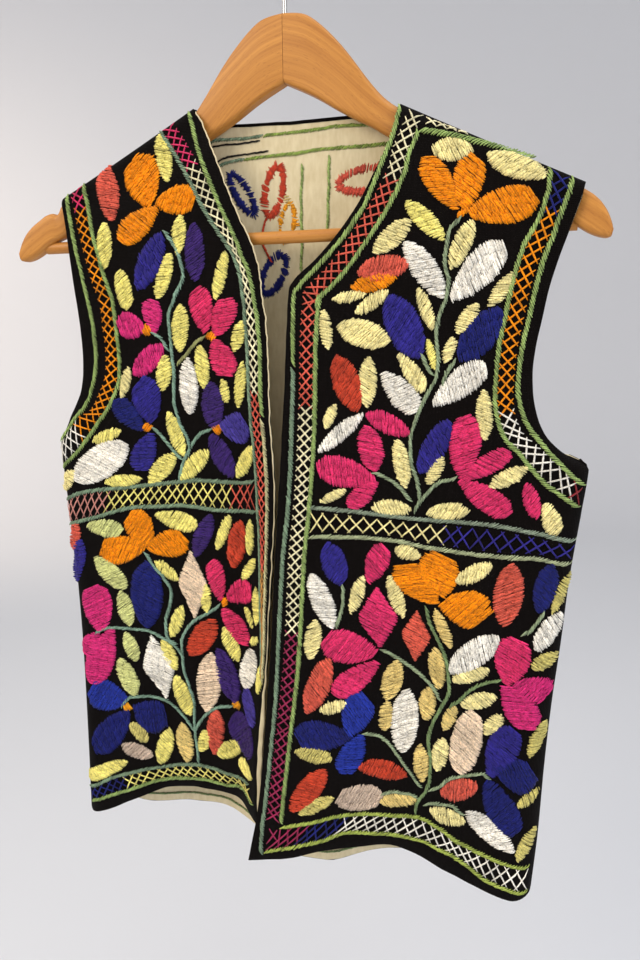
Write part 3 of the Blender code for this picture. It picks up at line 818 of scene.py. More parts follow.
def back_grid(parts, columns):
    """(x, z) spots of the back, from the wearer's right side to the left."""
    steps = row_steps(parts)
    right_tip, left_tip = RIGHT_EDGES[0][2], LEFT_EDGES[0][2]
    span = left_tip - right_tip

    def side(edges, sign):
        """A front's side edge, with the armhole cut a little deeper."""
        point = edge_point(edges, 2, steps)
        inset = BACK_ARMHOLE_INSET * np.clip(UNDERARM_ROW - steps, 0, 1) * np.clip(steps, 0, 1)
        return point - np.stack([sign * inset, 0 * inset], -1)

    def top(s):
        """The shoulder seams with the neckline between them."""
        x = right_tip + np.asarray(s, float) * span
        neck = column(BACK_NECK, x)
        inside = (x > RIGHT_EDGES[0][0]) & (x < LEFT_EDGES[0][0])
        return np.stack([x, np.where(inside, neck, shoulder_height(x))], -1)

    def bottom(s):
        """The hem."""
        return seam_line(RIGHT_EDGES[-1][2:], LEFT_EDGES[-1][2:], s, BACK_HEM)

    start, end = side(RIGHT_EDGES, -1), side(LEFT_EDGES, 1)
    turn = turn_fractions(np.abs(end[:, 0] - start[:, 0]))
    neck = (np.array(NECK_COLUMNS) - right_tip) / span
    even = np.linspace(1 - turn[:, 0].min(), turn[:, 0].min(), columns)[1:-1]
    clear = np.abs(even[:, None] - neck).min(1) > COLUMN_GAP / span
    middle = np.sort(np.concatenate([even[clear], neck]))[None, :].repeat(len(steps), 0)
    fractions = np.concatenate([1 - turn[:, ::-1], middle, turn], 1)
    return fitted_grid(steps, start, end, top, bottom, fractions)


print("columns that the neck needs:", len(NECK_COLUMNS))

# %% Normals and closed shells
def grid_normals(points, outward, seam_rows, seam_columns):
    """Cross product of the grid's two slopes, turned outwards; flat in y at the seams."""
    down = np.gradient(points, axis=0)
    across = np.gradient(points, axis=1)
    normal = np.cross(across, down)
    normal = unit(normal * (np.sign(normal[..., 1].mean()) * outward))
    for j in seam_columns:
        normal[seam_rows:, j, 1] = 0
    at_shoulder = points[0, :, 2] > shoulder_height(points[0, :, 0]) - 0.01
    normal[0, at_shoulder, 1] = 0
    return unit(normal)


RIM_ROUND = 0.4  # mm: how far the faces stop short of a folded edge
LINING_BACK = 1.2  # mm: how far the linings stop short of the top cloth


def drawn_back(points, distance):
    """The grid with its outer rows and columns moved towards their neighbours by a distance,
    or by four tenths of the way where they lie close."""
    points = points.copy()
    for axis in (0, 1):
        moved = np.moveaxis(points, axis, 0)
        for edge, inside in ((0, 1), (-1, -2)):
            way = moved[inside] - moved[edge]
            length = np.linalg.norm(way, axis=-1, keepdims=True)
            moved[edge] += way / np.maximum(length, 1e-6) * np.minimum(distance, 0.4 * length)
    return points


def shell(name, points, normals, depth_in, thickness, material):
    """Outer face, middle ring and inner face: the outer face is the grid moved in by
    depth_in, the inner one by the thickness more; the ring joins them halfway."""
    rows, columns = points.shape[:2]
    tucked = drawn_back(points, RIM_ROUND)
    outer = tucked - normals * depth_in
    inner = tucked - normals * (depth_in + thickness)
    number = np.arange(rows * columns).reshape(rows, columns)
    rim = np.concatenate([number[0, :-1], number[:-1, -1], number[-1, :0:-1], number[:0:-1, 0]])
    ring = (points - normals * (depth_in + thickness / 2)).reshape(-1, 3)[rim]
    quads = np.stack([number[:-1, :-1], number[:-1, 1:], number[1:, 1:], number[1:, :-1]], -1)
    quads = quads.reshape(-1, 4)
    size = rows * columns
    middle = 2 * size + np.arange(len(rim))
    next_rim, next_middle = np.roll(rim, -1), np.roll(middle, -1)
    sides = np.concatenate([
        np.stack([next_rim, rim, middle, next_middle], -1),
        np.stack([next_middle, middle, rim + size, next_rim + size], -1),
    ])
    all_points = np.concatenate([outer.reshape(-1, 3), inner.reshape(-1, 3), ring])
    faces = np.concatenate([quads, quads[:, ::-1] + size, sides])
    uv = all_points[:, [0, 2]] * MM
    return put_mesh(name, all_points, [faces], material, uv=uv)


print("a shell's edge is", RIM_ROUND, "mm outside its faces")

# %% [markdown]
# ## The three panels and their linings
#
# A solidified plane would be quicker, but its rim would poke through the neighbour at
# the seams. Here the normals lie flat at the seams, so that two panels just meet there.

# %% Make the cloth
FRONT_PARTS, FRONT_COLUMNS = 5, 40
BACK_PARTS, BACK_COLUMNS = 5, 72
panels = {
    "left_front": (front_grid(LEFT_EDGES, LEFT_HEM, FRONT_PARTS, FRONT_COLUMNS), *LEFT_FRONT),
    "right_front": (front_grid(RIGHT_EDGES, RIGHT_HEM, FRONT_PARTS, FRONT_COLUMNS), *RIGHT_FRONT),
    "back": (back_grid(BACK_PARTS, BACK_COLUMNS), *BACK),
}


def every_second(count):
    """Every second number below count, and the last one."""
    return np.append(np.arange(0, count - 1, 2), count - 1)


cloths, linings, panel_frames = {}, {}, {}
for name, (spots, depth, outward) in panels.items():
    points = np.insert(spots, 1, depth(spots[..., 0], spots[..., 1]), axis=-1)
    first_seam_row = int(np.searchsorted(row_steps(FRONT_PARTS), UNDERARM_ROW))
    normals = grid_normals(points, outward, first_seam_row, (-1,) if outward < 0 else (0, -1))
    panel_frames[name] = points, normals
    cloths[name] = shell(f"{name}_cloth", points, normals, 0.0, TOP_CLOTH, black_plain_weave)
    coarse = np.ix_(every_second(points.shape[0]), every_second(points.shape[1]))
    linings[name] = shell(
        f"{name}_calico", drawn_back(points[coarse], LINING_BACK), normals[coarse],
        TOP_CLOTH + GAP, LINING, calico,
    )
    dress(cloths[name], "black_cloth", name)
    dress(linings[name], "lining_cloth", f"{name}_lining")

# %% [markdown]
# ## Where the leaves and flowers are
#
# The design is a free one of stems with leaves and flowers of a few broad petals, the kind
# that is passed on from hand to hand. A chart of every stitch would be enormous; what a sewer
# would mark on the cloth is enough: each shape's foot, its tip and its greatest width.

# %% Motifs of the right front
# Columns: shape, dye, foot x, z, tip x, z, greatest width (mm).
RIGHT_MOTIFS = table("""
leaf coral -144 -91 -136 -136 19, petal orange -102 -126 -116 -88 31,
petal orange -98 -124 -63 -121 21, petal orange -96 -127 -131 -150 21,
leaf yellow -97 -73 -87 -110 14, leaf yellow -143 -135 -144 -171 14,
oval yellow -132 -171 -126 -202 15, leaf yellow -78 -132 -81 -162 12,
oval yellow -87 -160 -100 -194 13, oval yellow -41 -160 -51 -195 11,
leaf indigo -93 -145 -117 -187 20, leaf purple -67 -138 -67 -182 17,
petal rose -60 -220 -65 -185 20, petal rose -52 -223 -38 -193 20,
petal rose -53 -224 -41 -253 22, petal magenta -104 -220 -106 -193 18,
petal magenta -112 -217 -137 -212 21, leaf magenta -96 -229 -126 -253 18,
leaf yellow -80 -197 -83 -235 15, leaf yellow -28 -210 -37 -234 12,
leaf yellow -95 -236 -100 -266 14, leaf cream -129 -246 -137 -272 10,
leaf yellow -65 -228 -63 -263 13, leaf white -76 -238 -77 -284 17,
oval yellow -47 -254 -45 -274 9, leaf yellow -29 -240 -35 -277 11,
petal indigo -111 -292 -117 -254 26, petal navy -119 -298 -143 -273 19,
petal indigo -111 -299 -127 -332 21, leaf purple -57 -295 -57 -256 19,
petal violet -52 -293 -24 -292 25, leaf purple -60 -298 -42 -333 18,
leaf yellow -96 -281 -84 -318 14, leaf yellow -138 -298 -167 -309 11,
leaf yellow -91 -315 -117 -342 16, leaf yellow -62 -311 -88 -337 15,
leaf yellow -22 -305 -39 -333 13, leaf white -133 -309 -187 -343 28,
leaf cream -184 -334 -207 -355 14, leaf yellow -122 -338 -158 -343 11,
dot orange -60 -222 -50 -222 8, dot orange -116 -217 -106 -218 10,
dot orange -120 -295 -110 -295 8, dot orange -59 -294 -49 -294 10,
leaf coral -186 -380 -202 -410 17, leaf indigo -183 -394 -200 -440 19,
petal lime -177 -382 -141 -383 17, petal orange -118 -396 -134 -366 25,
petal orange -121 -395 -166 -405 25, petal orange -121 -399 -84 -388 24,
petal yellow -113 -368 -74 -376 17, leaf purple -62 -364 -79 -403 15,
oval yellow -46 -364 -59 -395 10, leaf red_orange -36 -367 -45 -410 17,
leaf yellow -27 -365 -29 -397 10, leaf lime -172 -410 -140 -435 21,
leaf navy -122 -409 -125 -471 28, leaf yellow -116 -409 -94 -425 12,
diamond peach -82 -397 -81 -458 26, petal magenta -169 -478 -173 -435 30,
leaf lime -147 -437 -140 -470 16, leaf yellow -92 -447 -104 -478 12,
leaf yellow -70 -425 -70 -452 11, petal rose -56 -439 -63 -403 17,
petal rose -51 -437 -26 -423 21, petal rose -55 -445 -33 -476 20, dot orange -53 -435 -53 -444 7,
leaf yellow -22 -397 -37 -419 10, leaf yellow -21 -420 -21 -453 11,
leaf yellow -35 -441 -25 -458 9, leaf red_orange -62 -456 -87 -493 21,
leaf yellow -55 -462 -42 -493 14, oval yellow -29 -472 -17 -462 7,
petal magenta -172 -479 -190 -502 17, petal magenta -158 -474 -182 -529 26,
leaf lime -145 -475 -136 -503 14, leaf lime -152 -500 -139 -536 19,
diamond white -122 -476 -112 -538 28, leaf yellow -112 -480 -101 -509 14,
leaf peach -67 -487 -73 -544 23, leaf purple -60 -482 -46 -533 21,
oval white -24 -475 -37 -515 19, leaf yellow -13 -482 -18 -508 9,
petal cobalt -146 -540 -186 -538 30, petal navy -142 -548 -112 -561 32,
petal navy -146 -551 -180 -595 26, dot gold -152 -548 -143 -547 10,
leaf violet -33 -512 -25 -543 19, leaf purple -46 -539 -28 -573 32,
dot gold -48 -530 -42 -537 10, leaf yellow -102 -513 -90 -552 17,
leaf mustard -146 -562 -130 -581 14, leaf taupe -156 -586 -126 -595 16,
leaf yellow -110 -566 -121 -604 15, leaf gold_pale -98 -559 -95 -599 17,
oval yellow -72 -561 -82 -585 13, leaf coral -63 -539 -68 -586 17,
oval yellow -65 -585 -41 -569 16, leaf yellow -44 -587 -22 -583 16,
leaf yellow -199 -627 -149 -601 14
""")

print("motifs on the right front:", len(RIGHT_MOTIFS))

# %% Motifs of the left front
# The mustard leaves along the side are yellow leaves with painted shade, where the cloth turns
# towards the side seam.
LEFT_MOTIFS = table("""
leaf cream 108 -98 137 -101 16, leaf cream 145 -104 185 -121 16,
petal orange 128 -139 104 -103 18, petal orange 132 -139 137 -103 21,
petal orange 135 -141 180 -134 24, dot orange 128 -143 136 -138 6,
leaf yellow 93 -131 121 -158 13, leaf cream 139 -145 125 -177 14, leaf white 93 -157 122 -196 18,
petal white 126 -197 160 -161 23, leaf cream 97 -143 71 -165 15, leaf coral 59 -178 97 -172 18,
leaf orange 55 -188 88 -181 13, leaf cream 41 -196 67 -192 9, leaf cream 58 -206 83 -190 11,
leaf indigo 82 -193 106 -237 25, leaf cream 103 -188 115 -218 10, leaf cream 35 -202 39 -232 10,
leaf cream 45 -214 85 -226 20, leaf red_orange 44 -235 62 -276 21, leaf cream 69 -235 68 -273 14,
petal cream 90 -233 111 -260 13, leaf yellow 111 -223 117 -245 7, leaf cream 129 -221 124 -240 9,
leaf cream 145 -199 131 -220 12, leaf cream 168 -179 152 -202 11, leaf navy 161 -203 133 -238 23,
petal white 79 -247 106 -275 20, petal white 116 -269 152 -240 20,
leaf cream 151 -257 154 -293 12, leaf cream 45 -270 37 -289 9, leaf white 66 -277 32 -307 12,
leaf pink 67 -277 101 -291 15, leaf pink 68 -285 76 -320 19, leaf cream 91 -294 99 -331 13,
leaf indigo 129 -279 108 -320 18, petal pink 77 -326 31 -317 23, petal pink 78 -326 56 -348 15,
leaf cream 55 -334 34 -345 8, leaf cream 73 -346 104 -346 13, leaf cream 125 -305 114 -328 11,
leaf cream 114 -348 146 -344 14, petal pink 139 -321 141 -275 23,
petal pink 140 -321 172 -299 15, petal pink 137 -322 174 -345 19,
leaf cream 184 -310 158 -326 12, leaf pink 183 -321 192 -347 12,
petal cream 196 -334 206 -357 14, leaf indigo 40 -375 53 -408 20, petal pink 73 -405 84 -374 18,
leaf cream 91 -377 112 -381 12, leaf cream 69 -399 60 -430 11, leaf cream 88 -397 100 -431 12,
leaf white 28 -400 47 -443 18, leaf cream 33 -436 29 -470 14, diamond pink 83 -456 79 -407 29,
petal pink 81 -460 38 -454 27, petal pink 82 -467 48 -497 20, diamond coral 110 -423 110 -464 22,
leaf coral 45 -466 27 -515 19, leaf gold_pale 97 -464 89 -499 16,
leaf gold_pale 125 -449 129 -482 14, leaf gold_pale 123 -419 137 -449 10,
petal orange 125 -416 94 -389 25, petal orange 128 -410 123 -376 30,
petal orange 127 -415 164 -419 29, leaf cream 164 -382 137 -398 13,
leaf coral 177 -379 174 -429 21, leaf navy 204 -377 197 -416 16,
leaf mustard 217 -385 206 -416 9, leaf white 213 -414 196 -445 15,
leaf white 171 -436 136 -467 21, leaf cream 166 -463 138 -473 12,
leaf mustard 213 -446 194 -458 12, petal pink 178 -474 183 -436 26,
petal magenta 182 -473 211 -475 21, petal magenta 176 -474 199 -506 24,
leaf cream 145 -493 172 -484 14, leaf gold_pale 142 -492 134 -515 10,
leaf gold_pale 122 -481 120 -509 14, oval peach 155 -496 147 -550 23,
leaf cream 176 -497 164 -516 12, leaf white 105 -486 102 -541 22,
leaf gold_pale 90 -498 88 -525 12, leaf cream 37 -512 59 -502 11,
petal cobalt 61 -530 72 -493 25, petal navy 63 -530 18 -534 26, petal cobalt 71 -528 56 -563 20,
leaf mustard 18 -547 49 -551 15, leaf red_orange 43 -560 16 -601 19,
leaf mustard 21 -603 50 -584 12, leaf red_orange 68 -556 108 -558 17,
oval taupe 51 -587 89 -580 23, leaf gold_pale 85 -585 116 -577 13,
leaf gold_pale 117 -528 119 -561 13, leaf cream 134 -520 130 -550 13,
leaf coral 133 -569 162 -557 19, leaf cream 125 -583 154 -591 15,
leaf white 153 -580 191 -610 18, petal indigo 170 -550 184 -506 24,
petal navy 173 -544 204 -546 28, petal navy 167 -553 190 -595 25,
leaf mustard 207 -499 197 -529 11, leaf mustard 206 -556 191 -570 10,
leaf mustard 205 -588 193 -617 11
""")

print("motifs on the left front:", len(LEFT_MOTIFS))

# %% Stems
# Columns: dye, then x and z of each spot along the stem (mm).
RIGHT_STEMS = table("""
sage -91 -144 -81 -160 -77 -177 -85 -193 -91 -208 -90 -229 -89 -252 -90 -272 -86 -290 -80 -304 \
    -79 -311 -84 -321 -90 -339
sage -106 -219 -98 -225 -93 -234
olive -61 -223 -67 -226 -78 -237 -86 -244
sage -110 -295 -100 -305 -92 -314 -86 -320
sage -59 -295 -66 -297 -74 -304 -78 -310
sage -123 -402 -116 -415 -108 -424 -102 -436 -104 -449 -108 -464 -107 -478 -99 -484
sage -175 -480 -162 -474 -142 -472 -125 -473 -111 -479 -101 -485 -94 -495 -93 -505 -89 -521 \
    -85 -538 -86 -555 -86 -570 -84 -586 -84 -598
sage -57 -443 -66 -450 -80 -459 -90 -470 -94 -481 -94 -494
sage -153 -547 -142 -537 -128 -536 -114 -539 -102 -547 -93 -557 -87 -566
sage -50 -536 -59 -537 -70 -543 -80 -555 -86 -565
""")
LEFT_STEMS = table("""
stem 131 -144 124 -151 122 -161 121 -172 124 -185 123 -195 119 -206 117 -221 119 -238 118 -249 \
    111 -264 105 -279 101 -295 102 -311 107 -326 109 -339 105 -348
stem 107 -233 111 -242 116 -250
stem 131 -238 125 -247 122 -256
stem 75 -320 87 -325 96 -332 103 -341
stem 135 -321 123 -325 115 -333 109 -341
moss 117 -420 120 -431 127 -444 133 -456 136 -469 137 -481 133 -493 126 -509 123 -524 125 -541 \
    125 -556 122 -569 116 -580 114 -590
stem 54 -408 54 -420 52 -432 49 -442
stem 84 -457 94 -462 106 -468 118 -476 126 -483 131 -491
moss 173 -471 163 -474 152 -480 144 -489 137 -494
stem 201 -415 196 -424 191 -431 185 -434
stem 72 -527 83 -529 91 -534 99 -543 110 -555 118 -566
stem 169 -552 164 -548 154 -550 140 -555 132 -563 123 -568
stem 87 -579 99 -574 110 -574 116 -577
stem 151 -584 141 -577 132 -577 121 -580
""")

print("stems:", len(RIGHT_STEMS) + len(LEFT_STEMS))

# %% [markdown]
# ## One stitch, many thousand times
#
# A satin stitch is a single strand laid on the cloth: it comes up at one edge of a petal,
# arches a little and goes down at the other. Hair curves would render well but leave no
# mesh, so each stitch is a closed, three-sided tube of twenty triangles. Twenty is few,
# but smooth shading rounds it, and there are thousands of them.

# %% Threads on a panel
STATIONS = np.array([0.0, 0.28, 0.72, 1.0])  # places along a stitch
RISE = np.array([-0.25, 1.0, 1.0, -0.25])  # its height at them; the ends dive into the cloth
TAPER = np.array([0.55, 1.0, 1.0, 0.55])


def thread_faces(count):
    """Two triangles for each side between neighbouring rings of three, and two end caps."""
    side = np.arange(3)
    following = (side + 1) % 3
    rings = 3 * np.arange(len(STATIONS) - 1)[:, None]
    lower = np.stack([rings + side, rings + following, rings + following + 3], -1)
    upper = np.stack([rings + side, rings + following + 3, rings + side + 3], -1)
    last = 3 * (len(STATIONS) - 1)
    caps = np.array([[2, 1, 0], [last, last + 1, last + 2]])
    one = np.concatenate([lower.reshape(-1, 3), upper.reshape(-1, 3), caps])
    return (one + 3 * len(STATIONS) * np.arange(count)[:, None, None]).reshape(-1, 3)


def threads(name, panel, stitches, depth_in=0.0):
    """All the stitches of a piece as one mesh. A stitch is (start x, start z, end x, end z,
    width, lift, arch, red, green, blue): a straight line on the cloth, raised by lift plus
    arch times the rise along it, with a ring of three points at each station."""
    data = np.concatenate(stitches)
    start, end = data[:, 0:2], data[:, 2:4]
    width, lift, arch, colour = data[:, 4], data[:, 5], data[:, 6], data[:, 7:10]
    spots = start[:, None] + STATIONS[:, None] * (end - start)[:, None]
    points, normals = on_panel(panel, spots)
    if depth_in:
        points, normals = points - normals * depth_in, -normals
    height = lift[:, None] * np.minimum(1, RISE + 0.4) + arch[:, None] * RISE
    points = points + normals * height[..., None]
    along = np.gradient(points, axis=1)
    sideways = unit(np.cross(along, normals))
    half = (0.5 * width[:, None] * TAPER)[..., None]
    ring = np.stack(
        [points - sideways * half, points + sideways * half, points + normals * half * 0.95], 2
    )
    shades = np.repeat(colour, 3 * len(STATIONS), axis=0)
    piece = put_mesh(
        name, ring.reshape(-1, 3), [thread_faces(len(data))], thread,
        attributes={"thread_colour": shades},
    )
    return dress(piece, "embroidery_thread")


def stitch_rows(start, end, width, lift, arch, colour):
    """Gathers arrays into rows of one stitch each; single numbers are repeated."""
    count = len(start)
    plain = [np.broadcast_to(v, (count,))[:, None] for v in (width, lift, arch)]
    return np.concatenate([start, end, *plain, np.broadcast_to(colour, (count, 3))], 1)


print("triangles in one stitch:", len(thread_faces(1)))

# %% [markdown]
# ## Dyed threads
#
# Each colour is one skein. A skein is never perfectly even, so a stitch takes its dye
# times a small chance factor, and a wave along the motif gives the slow changes of tone
# that one sees where the strands lie a little more or less towards the light.

# %% Skeins
DYES = {
    "orange": "#ec8c00", "yellow": "#ebe07e", "cream": "#ecdf9c", "white": "#ece7da",
    "indigo": "#2c2580", "navy": "#161c66", "cobalt": "#1f3296", "purple": "#3a2268",
    "violet": "#463a90", "rose": "#d63263", "magenta": "#cf2c74", "pink": "#d43066",
    "coral": "#d45c48", "red_orange": "#c04228", "lime": "#cfd28a", "peach": "#ead2b4",
    # mustard: a darker yellow; on the left front's side turn it is painted shade on yellow leaves
    "gold": "#e29a1c", "gold_pale": "#dfc67c", "mustard": "#ccc070", "taupe": "#c8b39f",
    "sage": "#7f9d88", "moss": "#74895a", "olive": "#8e8f5c", "line_lime": "#93aa62",
    "line_sage": "#7d9478", "line_grey": "#84917c", "line_pale": "#a3ab84",
    "line_cream": "#c6be8e", "line_leaf": "#8ba24f", "tan": "#c08a48", "dusty": "#c98a7c",
    "wine": "#98284f", "ivory": "#e8dfb6", "stem": "#8b9a78", "line_spring": "#a3b254",
    "ink": "#171310", "dark_red": "#8e2f34",
}


def dyed(chance, name, count, spread=0.12):
    """A dye for each stitch: the skein's colour times a chance factor near one."""
    factor = np.clip(chance.normal(0.97, spread, count), 0.6, 1.3)[:, None]
    return linear(DYES[name]) * factor


print("skeins:", len(DYES))

# %% [markdown]
# ## Satin-stitched leaves and petals
#
# An embroiderer draws the outline, then fills it with strands across, slightly aslant. A
# wide shape is filled with shorter stitches end to end, which gives the mottled look. The
# same is done here: the half width of a shape is a curve along its axis, and each strand
# is a slanting line, cut where it meets the outline and then broken into stitches. That
# crossing has no tidy formula, so it is found by stepping towards it a few times.

# %% Fill a shape with satin stitch
# Half width along the axis from base to tip, as a share of half the full width.
OUTLINES = {
    "leaf": ((0, 0.1), (0.08, 0.46), (0.25, 0.86), (0.48, 1.0), (0.72, 0.88), (0.92, 0.46),
             (1, 0.1)),
    "petal": ((0, 0.2), (0.12, 0.48), (0.35, 0.84), (0.6, 1.0), (0.83, 0.87), (0.95, 0.55),
              (1, 0.2)),
    "oval": ((0, 0.2), (0.07, 0.55), (0.22, 0.86), (0.5, 1.0), (0.78, 0.86), (0.93, 0.55),
             (1, 0.2)),
    "diamond": ((0, 0.05), (0.25, 0.56), (0.5, 1.0), (0.75, 0.56), (1, 0.05)),
    "dot": ((0, 0.35), (0.15, 0.7), (0.5, 1.0), (0.85, 0.7), (1, 0.35)),
}
SLANT = 18, 38  # degrees: least and greatest slant of the strands
SEEKING_STEPS = 14
STITCH_LONG = 7.0  # mm: how long the stitches of a wide shape are
ENDS_UNEVEN = 0.4  # mm: typical scatter of the strands' ends
# painted light: a slow wave of tone along a motif, where the strands lie more or less towards the
# light
PAINTED_LIGHT_WAVE = 0.07
BREAKS_UNEVEN = 0.32  # share of a stitch
PITCH_UNEVEN, TILT_UNEVEN, ASIDE_UNEVEN = 0.25, 0.25, 0.14  # pitches, mm, mm
SHADES = 0.8, 1.12  # one stitch's tone against its strand's: partly random, partly painted light and shade, each stitch a little lighter or darker
LAP = 0.03  # share of the strand by which neighbouring stitches lap
STRAND_WIDE = 1.4, 1.75  # in pitches
STITCH_LIFT, STITCH_ARCH, ARCH_GROWTH = 0.28, 0.24, 0.02  # mm, mm and mm a mm of length
DRAWN_IN = 0.6  # mm: how far the thread ends stay inside the drawn outline


def satin(chance, motif, pitch):
    """Strands at an even pitch along the axis, each cut at the outline on both sides and
    broken into stitches of about the same length; all is moved a little by chance."""
    kind, dye, base_x, base_z, tip_x, tip_z, width = motif
    base, tip = np.array([base_x, base_z], float), np.array([tip_x, tip_z], float)
    axis = (tip - base) / np.linalg.norm(tip - base)
    base, tip, width = base + DRAWN_IN * axis, tip - DRAWN_IN * axis, width - 2.2 * DRAWN_IN
    length = np.linalg.norm(tip - base)
    across = turned_left(axis)
    slant = math.radians(chance.uniform(*SLANT)) * chance.choice([-1, 1])
    count = max(5, int(length * math.cos(slant) / pitch))
    t = (np.arange(count) + 0.5 + chance.uniform(-PITCH_UNEVEN, PITCH_UNEVEN, count)) / count
    reach = []
    for side in (-1, 1):
        distance = np.zeros(count)
        for _ in range(SEEKING_STEPS):
            met = np.clip(t + side * distance * math.sin(slant) / length, 0, 1)
            wanted = 0.5 * width * column(OUTLINES[kind], met) / math.cos(slant)
            distance = 0.5 * (distance + wanted)
        reach.append(side * (distance + chance.normal(0.1, ENDS_UNEVEN, count)))
    way = across * math.cos(slant) + axis * math.sin(slant)
    foot = base + t[:, None] * length * axis
    low, high = reach
    tilt = chance.normal(0, TILT_UNEVEN, count)
    start = foot + low[:, None] * way - tilt[:, None] * axis
    end = foot + high[:, None] * way + tilt[:, None] * axis
    # painted light: the strands lighter and darker in a slow wave along the motif
    slow = 1 + PAINTED_LIGHT_WAVE * np.sin(t * chance.uniform(4, 9) + chance.uniform(0, 6))
    colour = dyed(chance, dye, count) * slow[:, None]
    span = high - low
    parts = np.clip(np.round(span / STITCH_LONG + chance.uniform(-0.3, 0.3, count)), 1, 4)
    rows = []
    for number in (1, 2, 3, 4):
        chosen = parts == number
        if not chosen.any():
            continue
        cuts = np.arange(number + 1)[:, None] / number + np.zeros((1, int(chosen.sum())))
        cuts[1:-1] += (
            chance.uniform(-BREAKS_UNEVEN, BREAKS_UNEVEN, cuts[1:-1].shape) / number
        )
        for first, last in zip(cuts[:-1], cuts[1:]):
            aside = chance.normal(0, ASIDE_UNEVEN, len(first))[:, None] * axis
            way_across = end[chosen] - start[chosen]
            one_start = start[chosen] + (first - LAP)[:, None] * way_across + aside
            one_end = start[chosen] + (last + LAP)[:, None] * way_across + aside
            # painted light and shade, partly random: each stitch a little lighter or darker than
            # its strand
            shade = colour[chosen] * chance.uniform(*SHADES, len(first))[:, None]
            rows.append(stitch_rows(
                one_start, one_end, pitch * chance.uniform(*STRAND_WIDE, len(first)),
                chance.uniform(0.0, STITCH_LIFT, len(first)),
                STITCH_ARCH + ARCH_GROWTH * (last - first) * span[chosen], shade,
            ))
    return np.concatenate(rows)


first_leaf = satin(np.random.default_rng(0), LEFT_MOTIFS[0], pitch=1.05)
print("stitches in the first leaf:", len(first_leaf))

# %% [markdown]
# ## Chain lines and crossed borders
#
# The borders run along the cut edges: a twisted line on either side and a row of crosses
# between. Both follow a path that keeps its distance from the edge, so the path is the
# edge moved along its own inward normal. Drawing them by hand would lose that evenness.

# %% Paths beside the edges
SEAM_STEPS = 12


def run_along(path):
    """How far from the start each point of a path lies: the running sum of its steps."""
    return np.concatenate([[0], np.cumsum(np.linalg.norm(np.diff(path, axis=0), axis=1))])


def read_path(path, way, distances):
    """Points of a path where the way along it reaches the distances."""
    return np.stack([np.interp(distances, way, path[:, k]) for k in (0, 1)], 1)


def beside_edge(edges, x_index, offsets, samples=240):
    """The edge between the first and last given row, moved inwards by the given distances:
    point plus distance times the unit vector at right angles to the edge."""
    rows = np.linspace(offsets[0][0], offsets[-1][0], samples)
    point = edge_point(edges, x_index, rows)
    ahead = edge_point(edges, x_index, rows + 0.05) - edge_point(edges, x_index, rows - 0.05)
    inward = turned_left(smoothed(unit(ahead), 3))
    inward *= to_the_side(edges) * (1 if x_index == 0 else -1) * np.sign(inward[samples // 2, 0])
    return point + inward * column(offsets, rows)[:, None]


def to_the_shoulder(path, short=2.0, spots=14):
    """The path with a straight piece added before its start, up to a little below the
    shoulder seam: the length is found by stepping until the piece's top lies there."""
    way = path[0] - path[4]
    way /= np.linalg.norm(way)
    length = 0.0
    for _ in range(SEAM_STEPS):
        top = path[0] + length * way
        length += (float(shoulder_height(top[0])) - short - top[1]) / way[1]
    if length < 1.0:
        return np.concatenate([np.repeat(path[:1], spots, 0), path])
    return np.concatenate([path[0] + np.linspace(length, 0, spots + 1)[:-1, None] * way, path])


def smoothed(path, times):
    """Each point becomes a quarter of either neighbour and half of itself, several times."""
    path = np.array(path, float)
    for _ in range(times):
        path[1:-1] = 0.25 * path[:-2] + 0.5 * path[1:-1] + 0.25 * path[2:]
    return path


def through(spots, samples=240):
    """A smooth path through spots: each coordinate as a monotone cubic of the way along."""
    spots = np.array(spots, float)
    way = run_along(spots)
    at = np.linspace(0, way[-1], samples)
    return np.stack([smooth_between(way, spots[:, k], at) for k in (0, 1)], 1)


def at_length(path, distances):
    """Points of a path at distances from its start, read between its samples."""
    return read_path(path, run_along(path), distances)


def path_length(path):
    """The sum of its steps."""
    return float(np.linalg.norm(np.diff(path, axis=0), axis=1).sum())


print("neck border of the left front (mm):",
      round(path_length(beside_edge(LEFT_EDGES, 0, ((0, 5), (20, 5))))))

# %% Chain lines and crosses
CHAIN_STRAND, CHAIN_LIFT, CHAIN_ARCH = 1.3, 0.2, 0.5  # mm
CHAIN_SPREAD = 0.19  # how unevenly the lines are toned: uneven dye, and painted shade for the dark gaps between the strands of a twisted line
LEAN_UNEVEN, PLACE_UNEVEN = 0.06, 0.12  # radians, mm
LENGTH_UNEVEN = 0.88, 1.12
OWN_WIDTH = 1.2  # mm that the strands themselves add to a line
CROSS_STRAND, CROSS_ARCH, CROSS_UNEVEN = 1.35, 0.45, 0.5  # mm
CROSS_LIFTS = 0.1, 0.55  # mm: the lower and the upper strand


def chain_line(chance, path, dye, wide=4.6, pitch=2.15, stitch=6.2):
    """Short overlapping strands, each turned off the path by the angle whose sine is the
    line's width over the strand's length."""
    count = int(path_length(path) / pitch)
    middle = (np.arange(count) + 0.5) * pitch
    centre = at_length(path, middle)
    ahead = unit(at_length(path, middle + 1.5) - at_length(path, middle - 1.5))
    aside = turned_left(ahead)
    lean = math.asin((wide - OWN_WIDTH) / stitch) + chance.normal(0, LEAN_UNEVEN, count)
    reach = 0.5 * stitch * chance.uniform(*LENGTH_UNEVEN, count)
    run = (ahead * np.cos(lean)[:, None] + aside * np.sin(lean)[:, None]) * reach[:, None]
    centre = centre + chance.normal(0, PLACE_UNEVEN, (count, 2))
    colour = dyed(chance, dye, count, CHAIN_SPREAD)
    return stitch_rows(centre - run, centre + run, CHAIN_STRAND, CHAIN_LIFT, CHAIN_ARCH, colour)


